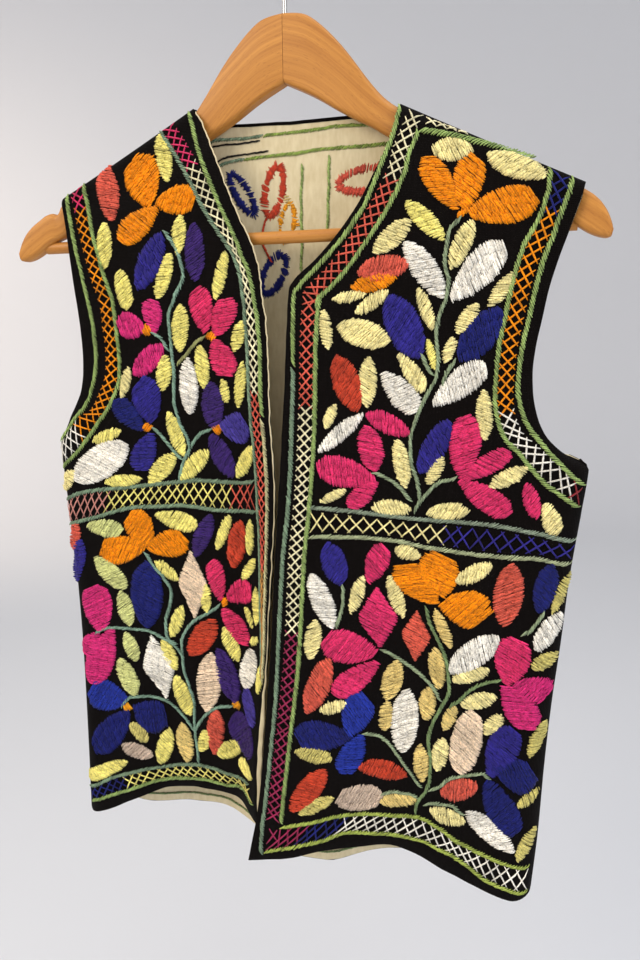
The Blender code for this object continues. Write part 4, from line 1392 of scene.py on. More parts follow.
def crosses(chance, inner, outer, spans, pitch=7.6, reach=12.0, inset=1.2, marks=None):
    """Two strands for each cross, from the inner path to the outer one and back: they start
    reach / 2 before the middle and end as far after it. spans name a dye up to a mark."""
    way = run_along(0.5 * (inner + outer))
    marks = np.linspace(0, 1, len(way)) if marks is None else np.asarray(marks, float)
    count = max(1, int((way[-1] - 3) / pitch))
    centre = (np.arange(count) + 0.5) * way[-1] / count
    before = centre - 0.5 * reach + chance.normal(0, CROSS_UNEVEN, count)
    after = centre + 0.5 * reach + chance.normal(0, CROSS_UNEVEN, count)

    def just_inside(path, opposite, where):
        """Points of one path moved by the inset towards the other, by 0.4 of the way at most."""
        a, b = read_path(path, way, where), read_path(opposite, way, where)
        width = np.linalg.norm(b - a, axis=1, keepdims=True)
        return a + (b - a) * np.minimum(0.4, inset / np.maximum(width, 1e-6))

    where = np.interp(centre, way, marks)
    colour = np.zeros((count, 3))
    low = -np.inf
    for until, dye in spans:
        inside = (where > low) & (where <= until)
        colour[inside] = dyed(chance, dye, int(inside.sum()))
        low = until
    rows = []
    for first, last, lift in zip((inner, outer), (outer, inner), CROSS_LIFTS):
        start = just_inside(first, last, np.clip(before, 0, way[-1]))
        end = just_inside(last, first, np.clip(after, 0, way[-1]))
        rows.append(stitch_rows(start, end, CROSS_STRAND, lift, CROSS_ARCH, colour))
    return np.concatenate(rows)


print("a cross takes two strands of", CROSS_STRAND, "mm")

# %% [markdown]
# ## Where the borders run
#
# The sewer did not measure the borders: a line may lie 3 mm from the edge at one place
# and 12 mm at another. Those small wanderings make it look sewn by hand, so the tables
# keep them. Lines beside an edge are (table row, distance); free lines are (x, z) points.

# %% Borders of the right front
RIGHT_FRONT_INNER = table("""
0.2 3.2, 1 6.1, 2 9.6, 3 10.4, 4 9.8, 5 9.2, 6 9.8, 7 7.8, 8 5.8, 9 6, 10 5.5, 11.3 6.5, 12 6,
13 6, 14 6.2, 15 5.2, 15.9 3.6, 16.6 2.6, 17.3 2.2
""")
RIGHT_FRONT_OUTER = table("""
1.7 28.4, 2.5 26, 3.5 24.2, 4.7 20.4, 5.5 17.4, 6.5 15.6, 8 14.4, 9 16.2, 12 16.4, 14 16.6,
14.7 13.6, 15.3 11.4, 15.9 8.8, 16.6 5.4, 17.3 3.6
""")
RIGHT_ARM_OUTER = table("""
0.2 5.5, 1.2 5, 2 5.3, 3 6.2, 4 7.8, 5 9.6, 7 12.2, 8.4 12.4, 10 10.6, 11 8.6
""")
RIGHT_ARM_INNER = table("0 21.5, 1.9 22.6, 3.6 26, 5.2 30, 6 33, 9 33, 10 30, 10.5 28, 11 26")
RIGHT_ARM_TAILS = (
    table("-177 -285, -184 -292, -193 -303, -201.5 -311"),
    table("-166 -301, -176 -312, -186 -323, -199 -333"),
)
RIGHT_MID_UPPER = table("""
-198 -361, -182 -354, -170 -351, -151 -348, -135 -346, -109 -342, -89 -339, -71 -337, -56 -337,
-37 -337, -21 -334
""")
RIGHT_MID_LOWER = table("""
-203 -385, -178 -377, -162 -372, -148 -367, -130 -363, -108 -361, -85 -359, -55 -361, -21 -359
""")
RIGHT_HEM_UPPER = table("""
-192 -634, -183 -630, -173 -624, -153 -615, -135 -609, -117 -606, -98 -601, -83 -599, -53 -602,
-28 -597
""")
RIGHT_HEM_LOWER = table("""
-188 -647, -172 -640, -151 -631, -140 -626, -122 -620, -98 -615, -79 -613, -59 -614, -33 -608,
-22 -609
""")

print("spots along the right hem:", len(RIGHT_HEM_UPPER), len(RIGHT_HEM_LOWER))

# %% Borders of the left front
LEFT_FRONT_INNER = table("""
0.3 1.2, 2 1.2, 3.5 3.3, 4.4 5, 6 4.6, 7 6, 8.5 4.6, 10 5.6, 11.4 6.8, 13 7.8, 14 8.4, 15 6,
16 5.8, 17.2 6.8, 18 6.2, 19 5.6, 19.5 6.8, 19.85 9.5
""")
LEFT_FRONT_OUTER = table("""
1.5 17.6, 2.2 16.6, 3 20, 4.7 20, 5.6 21, 6.3 22, 8.5 23.7, 9 23, 14 24.5, 15 22.4, 16.5 23,
18 20.8, 19 20.1, 19.2 20.6
""")
LEFT_ARM_OUTER = table("""
0.1 8.6, 1.4 8.4, 2.4 8.6, 3.2 8.4, 4 9, 5 8.4, 8 9, 9 9.9, 9.8 8.9, 11 5.4
""")
LEFT_ARM_INNER = table("0.1 22.6, 1 21.2, 2.3 20.4, 4 24, 8 24, 9.7 26, 10.5 24.7, 11 21")
LEFT_ARM_TAILS = (
    table("198 -301, 205 -307, 211 -313, 218 -319, 220.5 -322"),
    table("185 -310, 192 -318, 199 -324, 206 -328, 213 -333, 219 -338"),
)
LEFT_MID_UPPER = table("27 -349, 73 -351, 110 -353, 153 -353, 188 -356, 219 -362")
LEFT_MID_LOWER = table("27 -372, 73 -370, 96 -371, 118 -374, 168 -376, 189 -375, 216 -379")
LEFT_HEM_UPPER = table("""
8 -614.5, 15 -613.5, 31 -609.5, 47 -603, 63 -599, 87 -596, 107 -594, 119 -593, 134 -598,
150 -609, 166 -615, 181 -620, 202 -623
""")
LEFT_HEM_LOWER = table("""
-6 -639, 15 -633, 39 -625, 59 -616, 79 -613, 119 -612, 139 -618, 159 -630, 174 -639, 202 -646
""")
LEFT_CORNER_ABOVE = table("-3.5 -616, 6 -616.5")
LEFT_CORNER_BELOW = table("-7 -633, 7 -629")
LEFT_SHOULDER = table("""
101 -85.5, 114 -88.5, 124 -91, 134 -94, 147 -98, 157 -101, 166 -104, 176 -108
""")
LEFT_SHOULDER_ABOVE = table("104 -76.5, 112 -80.3, 122 -85, 133 -90.2")
LEFT_SHOULDER_BELOW = table("104 -82.5, 112 -84.8, 122 -87.5, 133 -91")

print("spots along the left hem:", len(LEFT_HEM_UPPER), len(LEFT_HEM_LOWER))

# %% Whole borders
CROSS_TALL = 13.5  # mm: crosses keep to this width where the lines stand further apart
# Dyes of the crosses, each up to a table row or an x.
RIGHT_FRONT_SPANS = table("2.3 rose, 11.3 ivory, 15.2 coral, 20 tan")
LEFT_FRONT_SPANS = table("3.1 ivory, 11.5 coral, 16.1 ivory, 20 wine")
RIGHT_ARM_SPANS = table("1.4 rose, 12 orange, 20 white")
LEFT_ARM_SPANS = table("1.9 navy, 9.5 orange, 13.5 white, 20 dark_red")
RIGHT_MID_SPANS = table("-152 dusty, -45 yellow, 0 coral")
LEFT_MID_SPANS = table("124 cream, 240 indigo")
RIGHT_HEM_SPANS = table("-152 navy, 0 yellow")
LEFT_HEM_SPANS = table("27 wine, 55 navy, 240 white")


def with_tail(path, tail, spots=40):
    """A path carried on through the tail's spots, with a given number of samples more."""
    rest = np.concatenate([path[-1:], np.array(tail, float)])
    rest = at_length(rest, np.linspace(0, path_length(rest), spots + 1)[1:])
    return smoothed(np.concatenate([path, rest]), 8)


def lined(chance, paths, dyes):
    """A chain line along each path."""
    return [chain_line(chance, path, dye) for path, dye in zip(paths, dyes)]


def edge_border(chance, edges, x_index, inner, outer, spans, dyes, tails=None):
    """Two chain lines beside an edge and crosses between them over the rows they share.
    Tails carry both lines on from the last row to the side seam."""
    low, high = max(inner[0][0], outer[0][0]), min(inner[-1][0], outer[-1][0])
    shared = np.linspace(low, high, 240)
    near, far = column(inner, shared), column(outer, shared)
    last = np.maximum(near, far)
    first = np.maximum(np.minimum(near, far), last - CROSS_TALL)
    first, last = (
        to_the_shoulder(beside_edge(edges, x_index, tuple(zip(shared, offset)), len(shared)))
        for offset in (first, last)
    )
    marks = np.concatenate([np.full(len(first) - len(shared), shared[0]), shared])
    lines = [to_the_shoulder(beside_edge(edges, x_index, offsets)) for offsets in (inner, outer)]
    if tails:
        lines = [with_tail(line, tail) for line, tail in zip(lines, tails)]
        first, last = with_tail(first, tails[0]), with_tail(last, tails[1])
        marks = np.concatenate([marks, high + 3 * np.linspace(0, 1, len(first) - len(marks))])
    return lined(chance, lines, dyes) + [crosses(chance, first, last, spans, marks=marks)]


def edge_line(chance, edges, offsets, dyes):
    """One line beside a front edge in several dyes, each up to a table row."""
    path = beside_edge(edges, 0, offsets)
    rows = np.linspace(offsets[0][0], offsets[-1][0], len(path))
    pieces, low = [], -1.0
    for until, dye in dyes:
        pieces.append(chain_line(chance, path[(rows >= low) & (rows <= until)], dye))
        low = until
    return np.concatenate(pieces)


def free_border(chance, upper, lower, spans, dyes, pitch=7.8, inset=1.6):
    """Two chain lines through points and crosses between them, dyed by how far out they lie."""
    upper, lower = through(upper), through(lower)
    marks = 0.5 * (upper[:, 0] + lower[:, 0])
    return lined(chance, (upper, lower), dyes) + [
        crosses(chance, upper, lower, spans, pitch=pitch, inset=inset, marks=marks)
    ]


print("crosses are at most", CROSS_TALL, "mm tall")

# %% [markdown]
# ## Embroider the fronts
#
# Leaves and petals first, then the stems that join them, then the borders. Flowers and
# borders are separate pieces, because each stays light enough to be handled on its own.

# %% Flowers, stems and borders of the fronts
SATIN_PITCH = 0.9  # mm between strands
STEM_WIDE = 3.9  # mm


def flowers(chance, motifs, pitch=SATIN_PITCH):
    """Satin stitch for every row of a motif table."""
    return [satin(chance, motif, pitch) for motif in motifs]


def in_pairs(numbers):
    """A row's numbers as (x, z) spots."""
    return np.reshape(numbers, (-1, 2))


def stems(chance, rows):
    """A chain line, a little narrower than a border's, along every stem."""
    return [chain_line(chance, through(in_pairs(numbers)), dye, wide=STEM_WIDE)
            for dye, *numbers in rows]


def right_borders(chance):
    """Front edge, armhole, waist and hem of the wearer's right front."""
    rows = edge_border(chance, RIGHT_EDGES, 0, RIGHT_FRONT_INNER, RIGHT_FRONT_OUTER,
                       RIGHT_FRONT_SPANS, ("line_lime", "line_sage"))
    # The line beside the edge is sewn anew, because it changes dye on its way.
    rows[0] = edge_line(chance, RIGHT_EDGES, RIGHT_FRONT_INNER,
                        table("12 line_lime, 20 line_cream"))
    rows += edge_border(chance, RIGHT_EDGES, 2, RIGHT_ARM_OUTER, RIGHT_ARM_INNER,
                        RIGHT_ARM_SPANS, ("line_lime", "line_lime"), RIGHT_ARM_TAILS)
    rows += free_border(chance, RIGHT_MID_UPPER, RIGHT_MID_LOWER, RIGHT_MID_SPANS,
                        ("line_sage", "line_sage"))
    rows += free_border(chance, RIGHT_HEM_UPPER, RIGHT_HEM_LOWER, RIGHT_HEM_SPANS,
                        ("line_sage", "line_lime"))
    return rows


def left_borders(chance):
    """Front edge, armhole, waist, hem and shoulder of the wearer's left front."""
    rows = edge_border(chance, LEFT_EDGES, 0, LEFT_FRONT_INNER, LEFT_FRONT_OUTER,
                       LEFT_FRONT_SPANS, ("line_sage", "line_lime"))
    rows[0] = edge_line(chance, LEFT_EDGES, LEFT_FRONT_INNER,
                        table("10.6 line_lime, 20 line_sage"))
    rows[1] = chain_line(chance, beside_edge(LEFT_EDGES, 0, LEFT_FRONT_OUTER), "line_lime")
    rows += edge_border(chance, LEFT_EDGES, 2, LEFT_ARM_OUTER, LEFT_ARM_INNER,
                        LEFT_ARM_SPANS, ("line_lime", "line_lime"), LEFT_ARM_TAILS)
    rows += free_border(chance, LEFT_MID_UPPER, LEFT_MID_LOWER, LEFT_MID_SPANS,
                        ("line_grey", "line_pale"), pitch=9.6, inset=3.4)
    rows += free_border(chance, LEFT_HEM_UPPER, LEFT_HEM_LOWER, LEFT_HEM_SPANS,
                        ("line_spring", "line_spring"))
    rows.append(crosses(chance, through(LEFT_CORNER_ABOVE), through(LEFT_CORNER_BELOW),
                        ((8, "wine"),), pitch=5.0, reach=8.0, inset=1.0))
    rows.append(chain_line(chance, through(LEFT_SHOULDER), "line_lime", wide=5.6))
    rows.append(crosses(chance, through(LEFT_SHOULDER_ABOVE), through(LEFT_SHOULDER_BELOW),
                        ((1, "ivory"),), pitch=6.2, reach=8.0, inset=0.4))
    return rows


print("strands lie", SATIN_PITCH, "mm apart")

# %% Stitch the two fronts
sewn = {}
for name, panel, seed, motifs, borders, stem_rows in (
    ("right_front", RIGHT_FRONT, 11, RIGHT_MOTIFS, right_borders, RIGHT_STEMS),
    ("left_front", LEFT_FRONT, 21, LEFT_MOTIFS, left_borders, LEFT_STEMS),
):
    for_flowers, for_borders, for_stems = (np.random.default_rng(seed + k) for k in range(3))
    lines = borders(for_borders) + stems(for_stems, stem_rows)
    sewn[name] = [
        threads(f"{name}_flowers", panel, flowers(for_flowers, motifs)),
        threads(f"{name}_borders", panel, lines),
    ]

# %% [markdown]
# ## The hanger
#
# Two beech arms meet in a mitre, each cut from a board and rounded, with a notch near the
# tip for a strap and a bar between the ends. A profile carried along a path gives the
# rounded edges exactly where the wood has them; a bevelled box would round the notch away.
# The wood's own coordinates go along as an attribute, so that the grain follows each arm.

# %% The arm's stations
# The arm from the joint to the tip. Columns: top x, top z, bottom x, bottom z, edge rounding.
ARM_STATIONS = table("""
0.15 0 0.15 -45 3
14 -1 12 -50.5 3
21 -5.2 20 -54.5 3
28 -10.5 28 -59 3
37 -19 37 -64.5 3
47 -30 45 -69 3
56 -42 53 -73.5 3.5
64 -52 60 -77 4
71 -59.7 67 -81 5
80 -67.4 75 -86 5
95 -74.9 89 -93 5
110 -82.1 103 -100 5
135 -94.4 127 -112 5
160 -106.5 151 -125 5
180 -116.2 170 -137 5
186 -119.2 178 -141 5
188.5 -124 184 -143 4.5
191 -126.4 190 -145 4
194.5 -124.8 195 -147.2 4
199 -125.8 200 -150.2 4
206 -130 206 -154.6 4
213 -134.8 212 -158.2 4
218.5 -140.6 217.5 -160.4 4
222.8 -148 221.5 -161.2 4
225.5 -156 224.5 -160.4 1.6
""")
ARM_CUTS = 6  # cross-sections between two table rows
CORNER_POINTS = 7
SANDED_TO, SANDED_FADE = 130.0, 40.0  # mm from the joint: how far the crown is sanded
SANDINGS = 24
THIN_BELOW = 2.5  # mm: the wood is 4 mm thinner where its edges are rounded by less
TIP_ROUND = 1.4  # mm: how much smaller the last cross-section is

print("stations along an arm:", len(ARM_STATIONS))

# %% Carve the arms
def tilted(points):
    """The hanger is turned about the apex by its small tilt."""
    x, y, z = np.moveaxis(np.asarray(points, float), -1, 0)
    c, s = math.cos(HANGER_TILT), math.sin(HANGER_TILT)
    return np.stack([x * c - z * s, y, x * s + z * c], -1)


def capped_tube(rings):
    """Quads between neighbouring rings and a fan to the middle of each end ring."""
    count, around = rings.shape[:2]
    number = np.arange(count * around).reshape(count, around)
    ahead = np.roll(number, -1, axis=1)
    quads = np.stack([number[:-1], ahead[:-1], ahead[1:], number[1:]], -1).reshape(-1, 4)
    first, last = count * around, count * around + 1
    fans = [
        np.stack([ahead[0], number[0], np.full(around, first)], -1),
        np.stack([number[-1], ahead[-1], np.full(around, last)], -1),
    ]
    points = np.concatenate([rings.reshape(-1, 3), rings[:1].mean(1), rings[-1:].mean(1)])
    return points, [quads, np.concatenate(fans)]


def carved_arm(name, side):
    """Rounded rectangles between the arm's upper and lower line: corner centres sit one
    rounding inside, and a quarter circle of that radius goes round each of them."""
    stations = np.array(ARM_STATIONS)
    rows = np.arange(len(stations))
    at = np.linspace(0, len(stations) - 1, (len(stations) - 1) * ARM_CUTS + 1)
    at = np.concatenate([at, [at[-1]]])
    top_x, top_z, low_x, low_z, rounding = (
        smooth_between(rows, stations[:, k], at) for k in range(5)
    )
    top, low = np.stack([top_x, top_z], -1), np.stack([low_x, low_z], -1)
    # Sanding takes the corners off the crown, but leaves the notch near the tip crisp.
    crown = np.clip((SANDED_TO - top_x) / SANDED_FADE, 0, 1)[:, None]
    top = top + crown * (smoothed(top, SANDINGS) - top)
    half_height = 0.5 * np.linalg.norm(top - low, axis=1)
    upward = (top - low) / (2 * half_height[:, None])
    radius = np.minimum(rounding, half_height - 0.05)
    half_thick = np.where(rounding > THIN_BELOW, ARM_THICKNESS / 2, ARM_THICKNESS / 2 - 2)
    half_thick[-1] -= TIP_ROUND
    half_height[-1] -= TIP_ROUND
    radius[-1] = max(0.2, radius[-1] - TIP_ROUND)
    turn = np.linspace(0, math.pi / 2, CORNER_POINTS)
    angle = (np.arange(4)[:, None] * math.pi / 2 + turn).ravel()
    sign_x = np.repeat([1, -1, -1, 1], CORNER_POINTS)
    sign_z = np.repeat([1, 1, -1, -1], CORNER_POINTS)
    across = sign_x * (half_thick - radius)[:, None] + radius[:, None] * np.cos(angle)
    up = sign_z * (half_height - radius)[:, None] + radius[:, None] * np.sin(angle)
    spot = 0.5 * (top + low)[:, None] + upward[:, None] * up[..., None]
    bent = arm_depth(spot[..., 0]) + across
    rings = np.stack([side * spot[..., 0], bent, spot[..., 1]], -1)
    points, faces = capped_tube(rings)
    way = run_along(0.5 * (top + low))
    own = np.stack([np.repeat(way[:, None], across.shape[1], 1), across, up], -1)
    own = np.concatenate([own.reshape(-1, 3), own[:1].mean(1), own[-1:].mean(1)]) * MM
    own[:, 0] += 0.37 * (side + 2)  # another stretch of grain for each arm
    return put_mesh(name, tilted(points), faces, beech, attributes={"wood_place": own},
                    smooth_below=50)


dress(carved_arm("carved_arm_left", 1), "hanger_wood", "hanger_arm_left")
dress(carved_arm("carved_arm_right", -1), "hanger_wood", "hanger_arm_right")

# %% [markdown]
# ### The bar and the hook
#
# Both are round stock of one thickness: a dowel and a bent wire. A circle carried along a
# path needs a direction to start from; as both paths stay in one plane, that plane's
# normal serves all along, and the circle can't twist.

# %% Turn the bar
BAR_DIAMETER = 9.0
BAR_HALF_LENGTH = 204.0
BAR_DEPTH = -11.8
BAR_HEIGHT = -151.0
BAR_CHAMFER = 0.6  # mm off the radius at the ends
BAR_SIDES = 28


def round_stock(path, radius, around):
    """Rings at each point: centre plus radius times (cosine of the in-plane normal plus
    sine of the y axis); the in-plane normal is the path's direction turned by 90 degrees."""
    path = np.asarray(path, float)
    ahead = unit(np.gradient(path, axis=0))
    aside = np.stack([-ahead[:, 2], 0 * ahead[:, 1], ahead[:, 0]], -1)
    angle = np.linspace(0, math.tau, around, endpoint=False)[None, :, None]
    size = np.broadcast_to(radius, (len(path),))[:, None, None]
    return path[:, None] + size * (
        aside[:, None] * np.cos(angle) + np.array([0.0, 1.0, 0.0]) * np.sin(angle)
    )


bar_x = np.concatenate([[-BAR_HALF_LENGTH, -BAR_HALF_LENGTH + 0.2],
                        np.linspace(-BAR_HALF_LENGTH + 1, BAR_HALF_LENGTH - 1, 60),
                        [BAR_HALF_LENGTH - 0.2, BAR_HALF_LENGTH]])
bar_path = np.stack([bar_x, 0 * bar_x + BAR_DEPTH, 0 * bar_x + BAR_HEIGHT], -1)
bar_radius = np.full(len(bar_x), BAR_DIAMETER / 2)
bar_radius[[0, -1]] -= BAR_CHAMFER
bar_points, bar_faces = capped_tube(round_stock(bar_path, bar_radius, BAR_SIDES))
bar_own = (bar_points - (0.0, BAR_DEPTH, BAR_HEIGHT)) * MM + (2.0, 0.0, 0.0)
bar = put_mesh("dowel_bar", tilted(bar_points), bar_faces, beech,
               attributes={"wood_place": bar_own}, smooth_below=50)
dress(bar, "hanger_wood", "hanger_bar")

# %% Bend the hook
WIRE_CHAMFER = 0.5  # mm off the radius at the ends
WIRE_SIDES = 20
BOW_FROM, BOW_TO = -45, 210  # degrees of the hook's circle


def hook_path():
    """Up the straight shank, along a smooth sweep to the side and round most of a circle."""
    radius = HOOK_INNER_RADIUS + WIRE_DIAMETER / 2
    centre_z = APEX_DROP - HOOK_INNER_RADIUS
    angle = np.radians(np.linspace(BOW_FROM, BOW_TO, 90))
    bow = np.stack([radius * np.cos(angle), centre_z + radius * np.sin(angle)], -1)
    foot = (SHANK_IN_WOOD * math.sin(HANGER_TILT), -SHANK_IN_WOOD)
    sweep = [foot, (0.0, 0.0), (0.0, 15.0), (0.0, 30.0), (0.8, 36.0), (3.4, 42.0), (8.2, 47.6)]
    sweep = np.array(sweep + [tuple(p) for p in bow[:12:3]])
    rows = np.arange(len(sweep))
    at = np.linspace(0, 6.999, 70)
    fine = np.stack([smooth_between(rows, sweep[:, k], at) for k in (0, 1)], -1)
    flat = np.concatenate([fine, bow])
    return np.insert(flat, 1, 0.0, axis=1)


wire = hook_path()
wire_radius = np.full(len(wire), WIRE_DIAMETER / 2)
wire_radius[-1] -= WIRE_CHAMFER
wire_points, wire_faces = capped_tube(round_stock(wire, wire_radius, WIRE_SIDES))
hook = put_mesh("bent_wire_hook", wire_points, wire_faces, plated_wire, smooth_below=50)
dress(hook, "hook_steel", "hanger_hook")

# %% [markdown]
# ## The back's own design
#
# The back is worked by the same hand, so its leaves repeat the fronts' with the sides
# exchanged and spread out, because the back has no opening. Each spot keeps its share of
# the way from the middle to the side. A band down the middle ties both halves together.

# %% The back's lines
BACK_PITCH = 1.15  # mm between strands: a little coarser than on the fronts
BAND_RIGHT = table("9 -93, 9 -173, 5 -260, 1 -400, -4 -628")
BAND_LEFT = table("30 -90, 29 -144, 26 -220, 22 -400, 18 -628")
BAND_SPANS = table("190 orange, 345 cream, 470 magenta, 700 navy")
BACK_NECK_UPPER = table("-59 -75, -39 -75, -22 -74, 8 -73, 37 -73, 62 -74")
BACK_NECK_LOWER = table("-54 -92, -40 -90, -22 -88, 8 -88, 31 -88, 58 -88")
BACK_ARM_OUTER = table("0.6 9, 4 8, 8 10, 12.8 6")
BACK_ARM_INNER = table("0.6 23, 4 22, 8 25, 12.8 19")
BACK_MID_UPPER = table("-193 -352, -120 -347, -50 -343, 30 -344, 120 -349, 197 -354")
BACK_MID_LOWER = table("-191 -373, -120 -367, -50 -365, 30 -364, 120 -369, 196 -376")
BACK_HEM_LINES = (15.0, 31.0)  # mm above the hem
BACK_MARGIN, SHOULDER_MARGIN = 9.0, 6.0  # mm kept from a side seam and a shoulder seam

print("the band is", BAND_LEFT[0][0] - BAND_RIGHT[0][0], "mm wide at the neck")

# %% Carry the fronts' shapes over
def band_edge(line, z):
    """The middle band's edge at a height."""
    rows = sorted((spot[1], spot[0]) for spot in line)
    return np.interp(z, [row[0] for row in rows], [row[1] for row in rows])


def other_side(x, z):
    """A front's spot carried to the opposite half of the back, at the same share of the
    width; returns the new x and how much wider the back is there."""
    if x > 0:
        here, there, band = LEFT_EDGES, RIGHT_EDGES, BAND_RIGHT
    else:
        here, there, band = RIGHT_EDGES, LEFT_EDGES, BAND_LEFT
    inner, outer = edge_x(here, 0, z), edge_x(here, 2, z)
    share = (x - inner) / (outer - inner)
    start, end = band_edge(band, z), edge_x(there, 2, z)
    return float(start + share * (end - start)), float(abs((end - start) / (outer - inner)))


def back_motifs(motifs):
    """The rows of a front's motif table, carried over."""
    rows = []
    for shape, dye, base_x, base_z, tip_x, tip_z, width in motifs:
        new_base, wider = other_side(base_x, base_z)
        new_tip, _ = other_side(tip_x, tip_z)
        width *= min(wider, 1.2)
        middle_x, middle_z = 0.5 * (new_base + new_tip), 0.5 * (base_z + tip_z)
        edges = LEFT_EDGES if middle_x > 0 else RIGHT_EDGES
        reach_x = 0.5 * abs(new_tip - new_base) + 0.35 * width  # slanting shapes reach less far
        too_far = abs(middle_x) + reach_x + BACK_MARGIN - abs(edge_x(edges, 2, middle_z))
        if too_far > 0:
            inwards = -math.copysign(too_far, middle_x)
            new_base, new_tip = new_base + inwards, new_tip + inwards
        top = min(float(shoulder_height(np.array(x))) for x in (new_base, new_tip))
        drop = max(0.0, max(base_z, tip_z) + 0.3 * width + SHOULDER_MARGIN - top)
        rows.append((shape, dye, new_base, base_z - drop, new_tip, tip_z - drop, width))
    return rows


def back_stems(chance, rows):
    """The fronts' stems, carried over."""
    moved = [(dye, *np.ravel([(other_side(x, z)[0], z) for x, z in in_pairs(numbers)]))
             for dye, *numbers in rows]
    return stems(chance, moved)


print("a spot at x = 100 goes to x =", round(other_side(100.0, -400.0)[0]))

# %% Stitch the back
def back_borders(chance):
    """Neck, both armholes, waist, hem and the band down the middle."""
    rows = free_border(chance, BACK_NECK_UPPER, BACK_NECK_LOWER, ((200, "cream"),),
                       ("line_sage", "line_lime"))
    rows += edge_border(chance, RIGHT_EDGES, 2, BACK_ARM_OUTER, BACK_ARM_INNER,
                        RIGHT_ARM_SPANS, ("line_lime", "line_sage"))
    rows += edge_border(chance, LEFT_EDGES, 2, BACK_ARM_OUTER, BACK_ARM_INNER,
                        LEFT_ARM_SPANS, ("line_lime", "line_sage"))
    rows += free_border(chance, BACK_MID_UPPER, BACK_MID_LOWER,
                        ((-90, "orange"), (20, "cream"), (120, "coral"), (240, "indigo")),
                        ("line_sage", "line_grey"))
    hem = panels["back"][0][-1]
    lower, upper = [smoothed(hem + (0, rise), 6)[3:-3] for rise in BACK_HEM_LINES]
    rows += free_border(chance, upper, lower,
                        ((-100, "navy"), (0, "yellow"), (110, "magenta"), (240, "white")),
                        ("line_lime", "line_sage"))
    right, left = through(BAND_RIGHT), through(BAND_LEFT)
    rows += lined(chance, (right, left), ("line_sage", "line_lime"))
    rows.append(crosses(chance, right, left, BAND_SPANS, marks=-right[:, 1], inset=2.6))
    return rows


sewn["back"] = [
    threads(f"back_flowers_{side}", BACK,
            flowers(np.random.default_rng(seed), back_motifs(motifs), BACK_PITCH))
    for side, seed, motifs in (("right", 31, LEFT_MOTIFS), ("left", 32, RIGHT_MOTIFS))
]
lines = back_borders(np.random.default_rng(33))
lines += back_stems(np.random.default_rng(34), LEFT_STEMS + RIGHT_STEMS)
sewn["back"].append(threads("back_borders", BACK, lines))

# %% [markdown]
# ## The wrong side of the stitches
#
# Inside the neck the stitches that went right through show on the lining: outlines of
# leaves, the borders' return strands and a few ends. They lie flatter than outside.

# %% Lines, rings and tufts inside the back
INSIDE = TOP_CLOTH + GAP + LINING  # mm from the back's outer face to the lining's inner face
INSIDE_HEM_LINE = 9.0  # mm above the hem
RING_PITCH = 0.95  # mm between the stitches of a ring
# Lines on the lining. Columns: dye, width, then x and z of each spot.
INSIDE_LINES = table("""
line_sage 3.4 -66 -79 -59 -76.5 -39 -76.6 -20 -76
line_leaf 3.4 -20 -76 8 -75 37 -73.6 62 -74.5
line_sage 3.4 -58 -95.5 -50 -93 -36 -91.5
line_leaf 3.8 -36 -91.5 -22 -90.6 8 -89.4 31 -88 51 -88 76 -88
line_lime 3.2 10 -98 9 -120 9 -150 8 -175
line_lime 3.2 31 -93 30 -117 29 -152
red_orange 2.4 -17 -131 -21 -138 -23 -150 -18 -162 -14 -168
ink 1.3 -68 -85 -60 -81 -40 -80 -22 -79
ink 1.3 -62 -94 -50 -89.2 -30 -87.6 -17 -86.6
""")
# Outlines of leaves as rings of short stitches. Columns: dye, stitch length, foot x, z,
# tip x, z, greatest width.
INSIDE_RINGS = table("""
navy 6.4 -48 -101 -29 -131 17
red_orange 6.4 -9 -97 -17 -133 20
coral 6.4 37 -113 82 -109 22
navy 6.4 -6 -161 -22 -190 22
coral 3.6 14 -178 22 -204 13
gold 4.2 0 -124 -5 -152 15
""")
# Rows of short stitches. Columns: dye, stitch length, pitch, then x and z of each spot.
INSIDE_TUFTS = table("""
gold 5 1.4 4 -136 7 -142
gold_pale 6 2.2 -4 -118 0 -128
gold 5 1.2 -2 -200 6 -206 12 -204
red_orange 8 1.2 16 -224 20 -242
magenta 8 1.2 16 -252 15 -272
orange 7 1.2 12 -198 20 -214
orange 7 1.4 8 -290 12 -310
cobalt 8 1.4 8 -330 4 -360
""")

print("inside:", len(INSIDE_LINES), "lines", len(INSIDE_RINGS), "rings", len(INSIDE_TUFTS), "tufts")

# %% Stitch the inside
def ring_spots(start, end, width):
    """An ellipse-like loop with pointed ends round an axis, as a closed path."""
    start, end = np.array(start, float), np.array(end, float)
    turn = np.linspace(0, 2 * math.pi, 60)
    way = (end - start) / np.linalg.norm(end - start)
    along = 0.5 * (1 - np.cos(turn))
    across = 0.5 * width * np.sign(np.sin(turn)) * np.abs(np.sin(turn)) ** 1.15
    return start + along[:, None] * (end - start) + across[:, None] * turned_left(way)


def tuft(chance, path, dye, length, pitch):
    """Short strands across a path."""
    count = int(path_length(path) / pitch)
    centre = at_length(path, (np.arange(count) + 0.5) * pitch)
    ahead = unit(np.gradient(centre, axis=0))
    aside = turned_left(ahead) + 0.3 * ahead
    half = 0.5 * length * chance.uniform(0.55, 1.25, count)[:, None] * aside
    rows = stitch_rows(centre - half, centre + half, 1.15, 0.1, 0.3, dyed(chance, dye, count))
    return rows[chance.random(count) < 0.93]


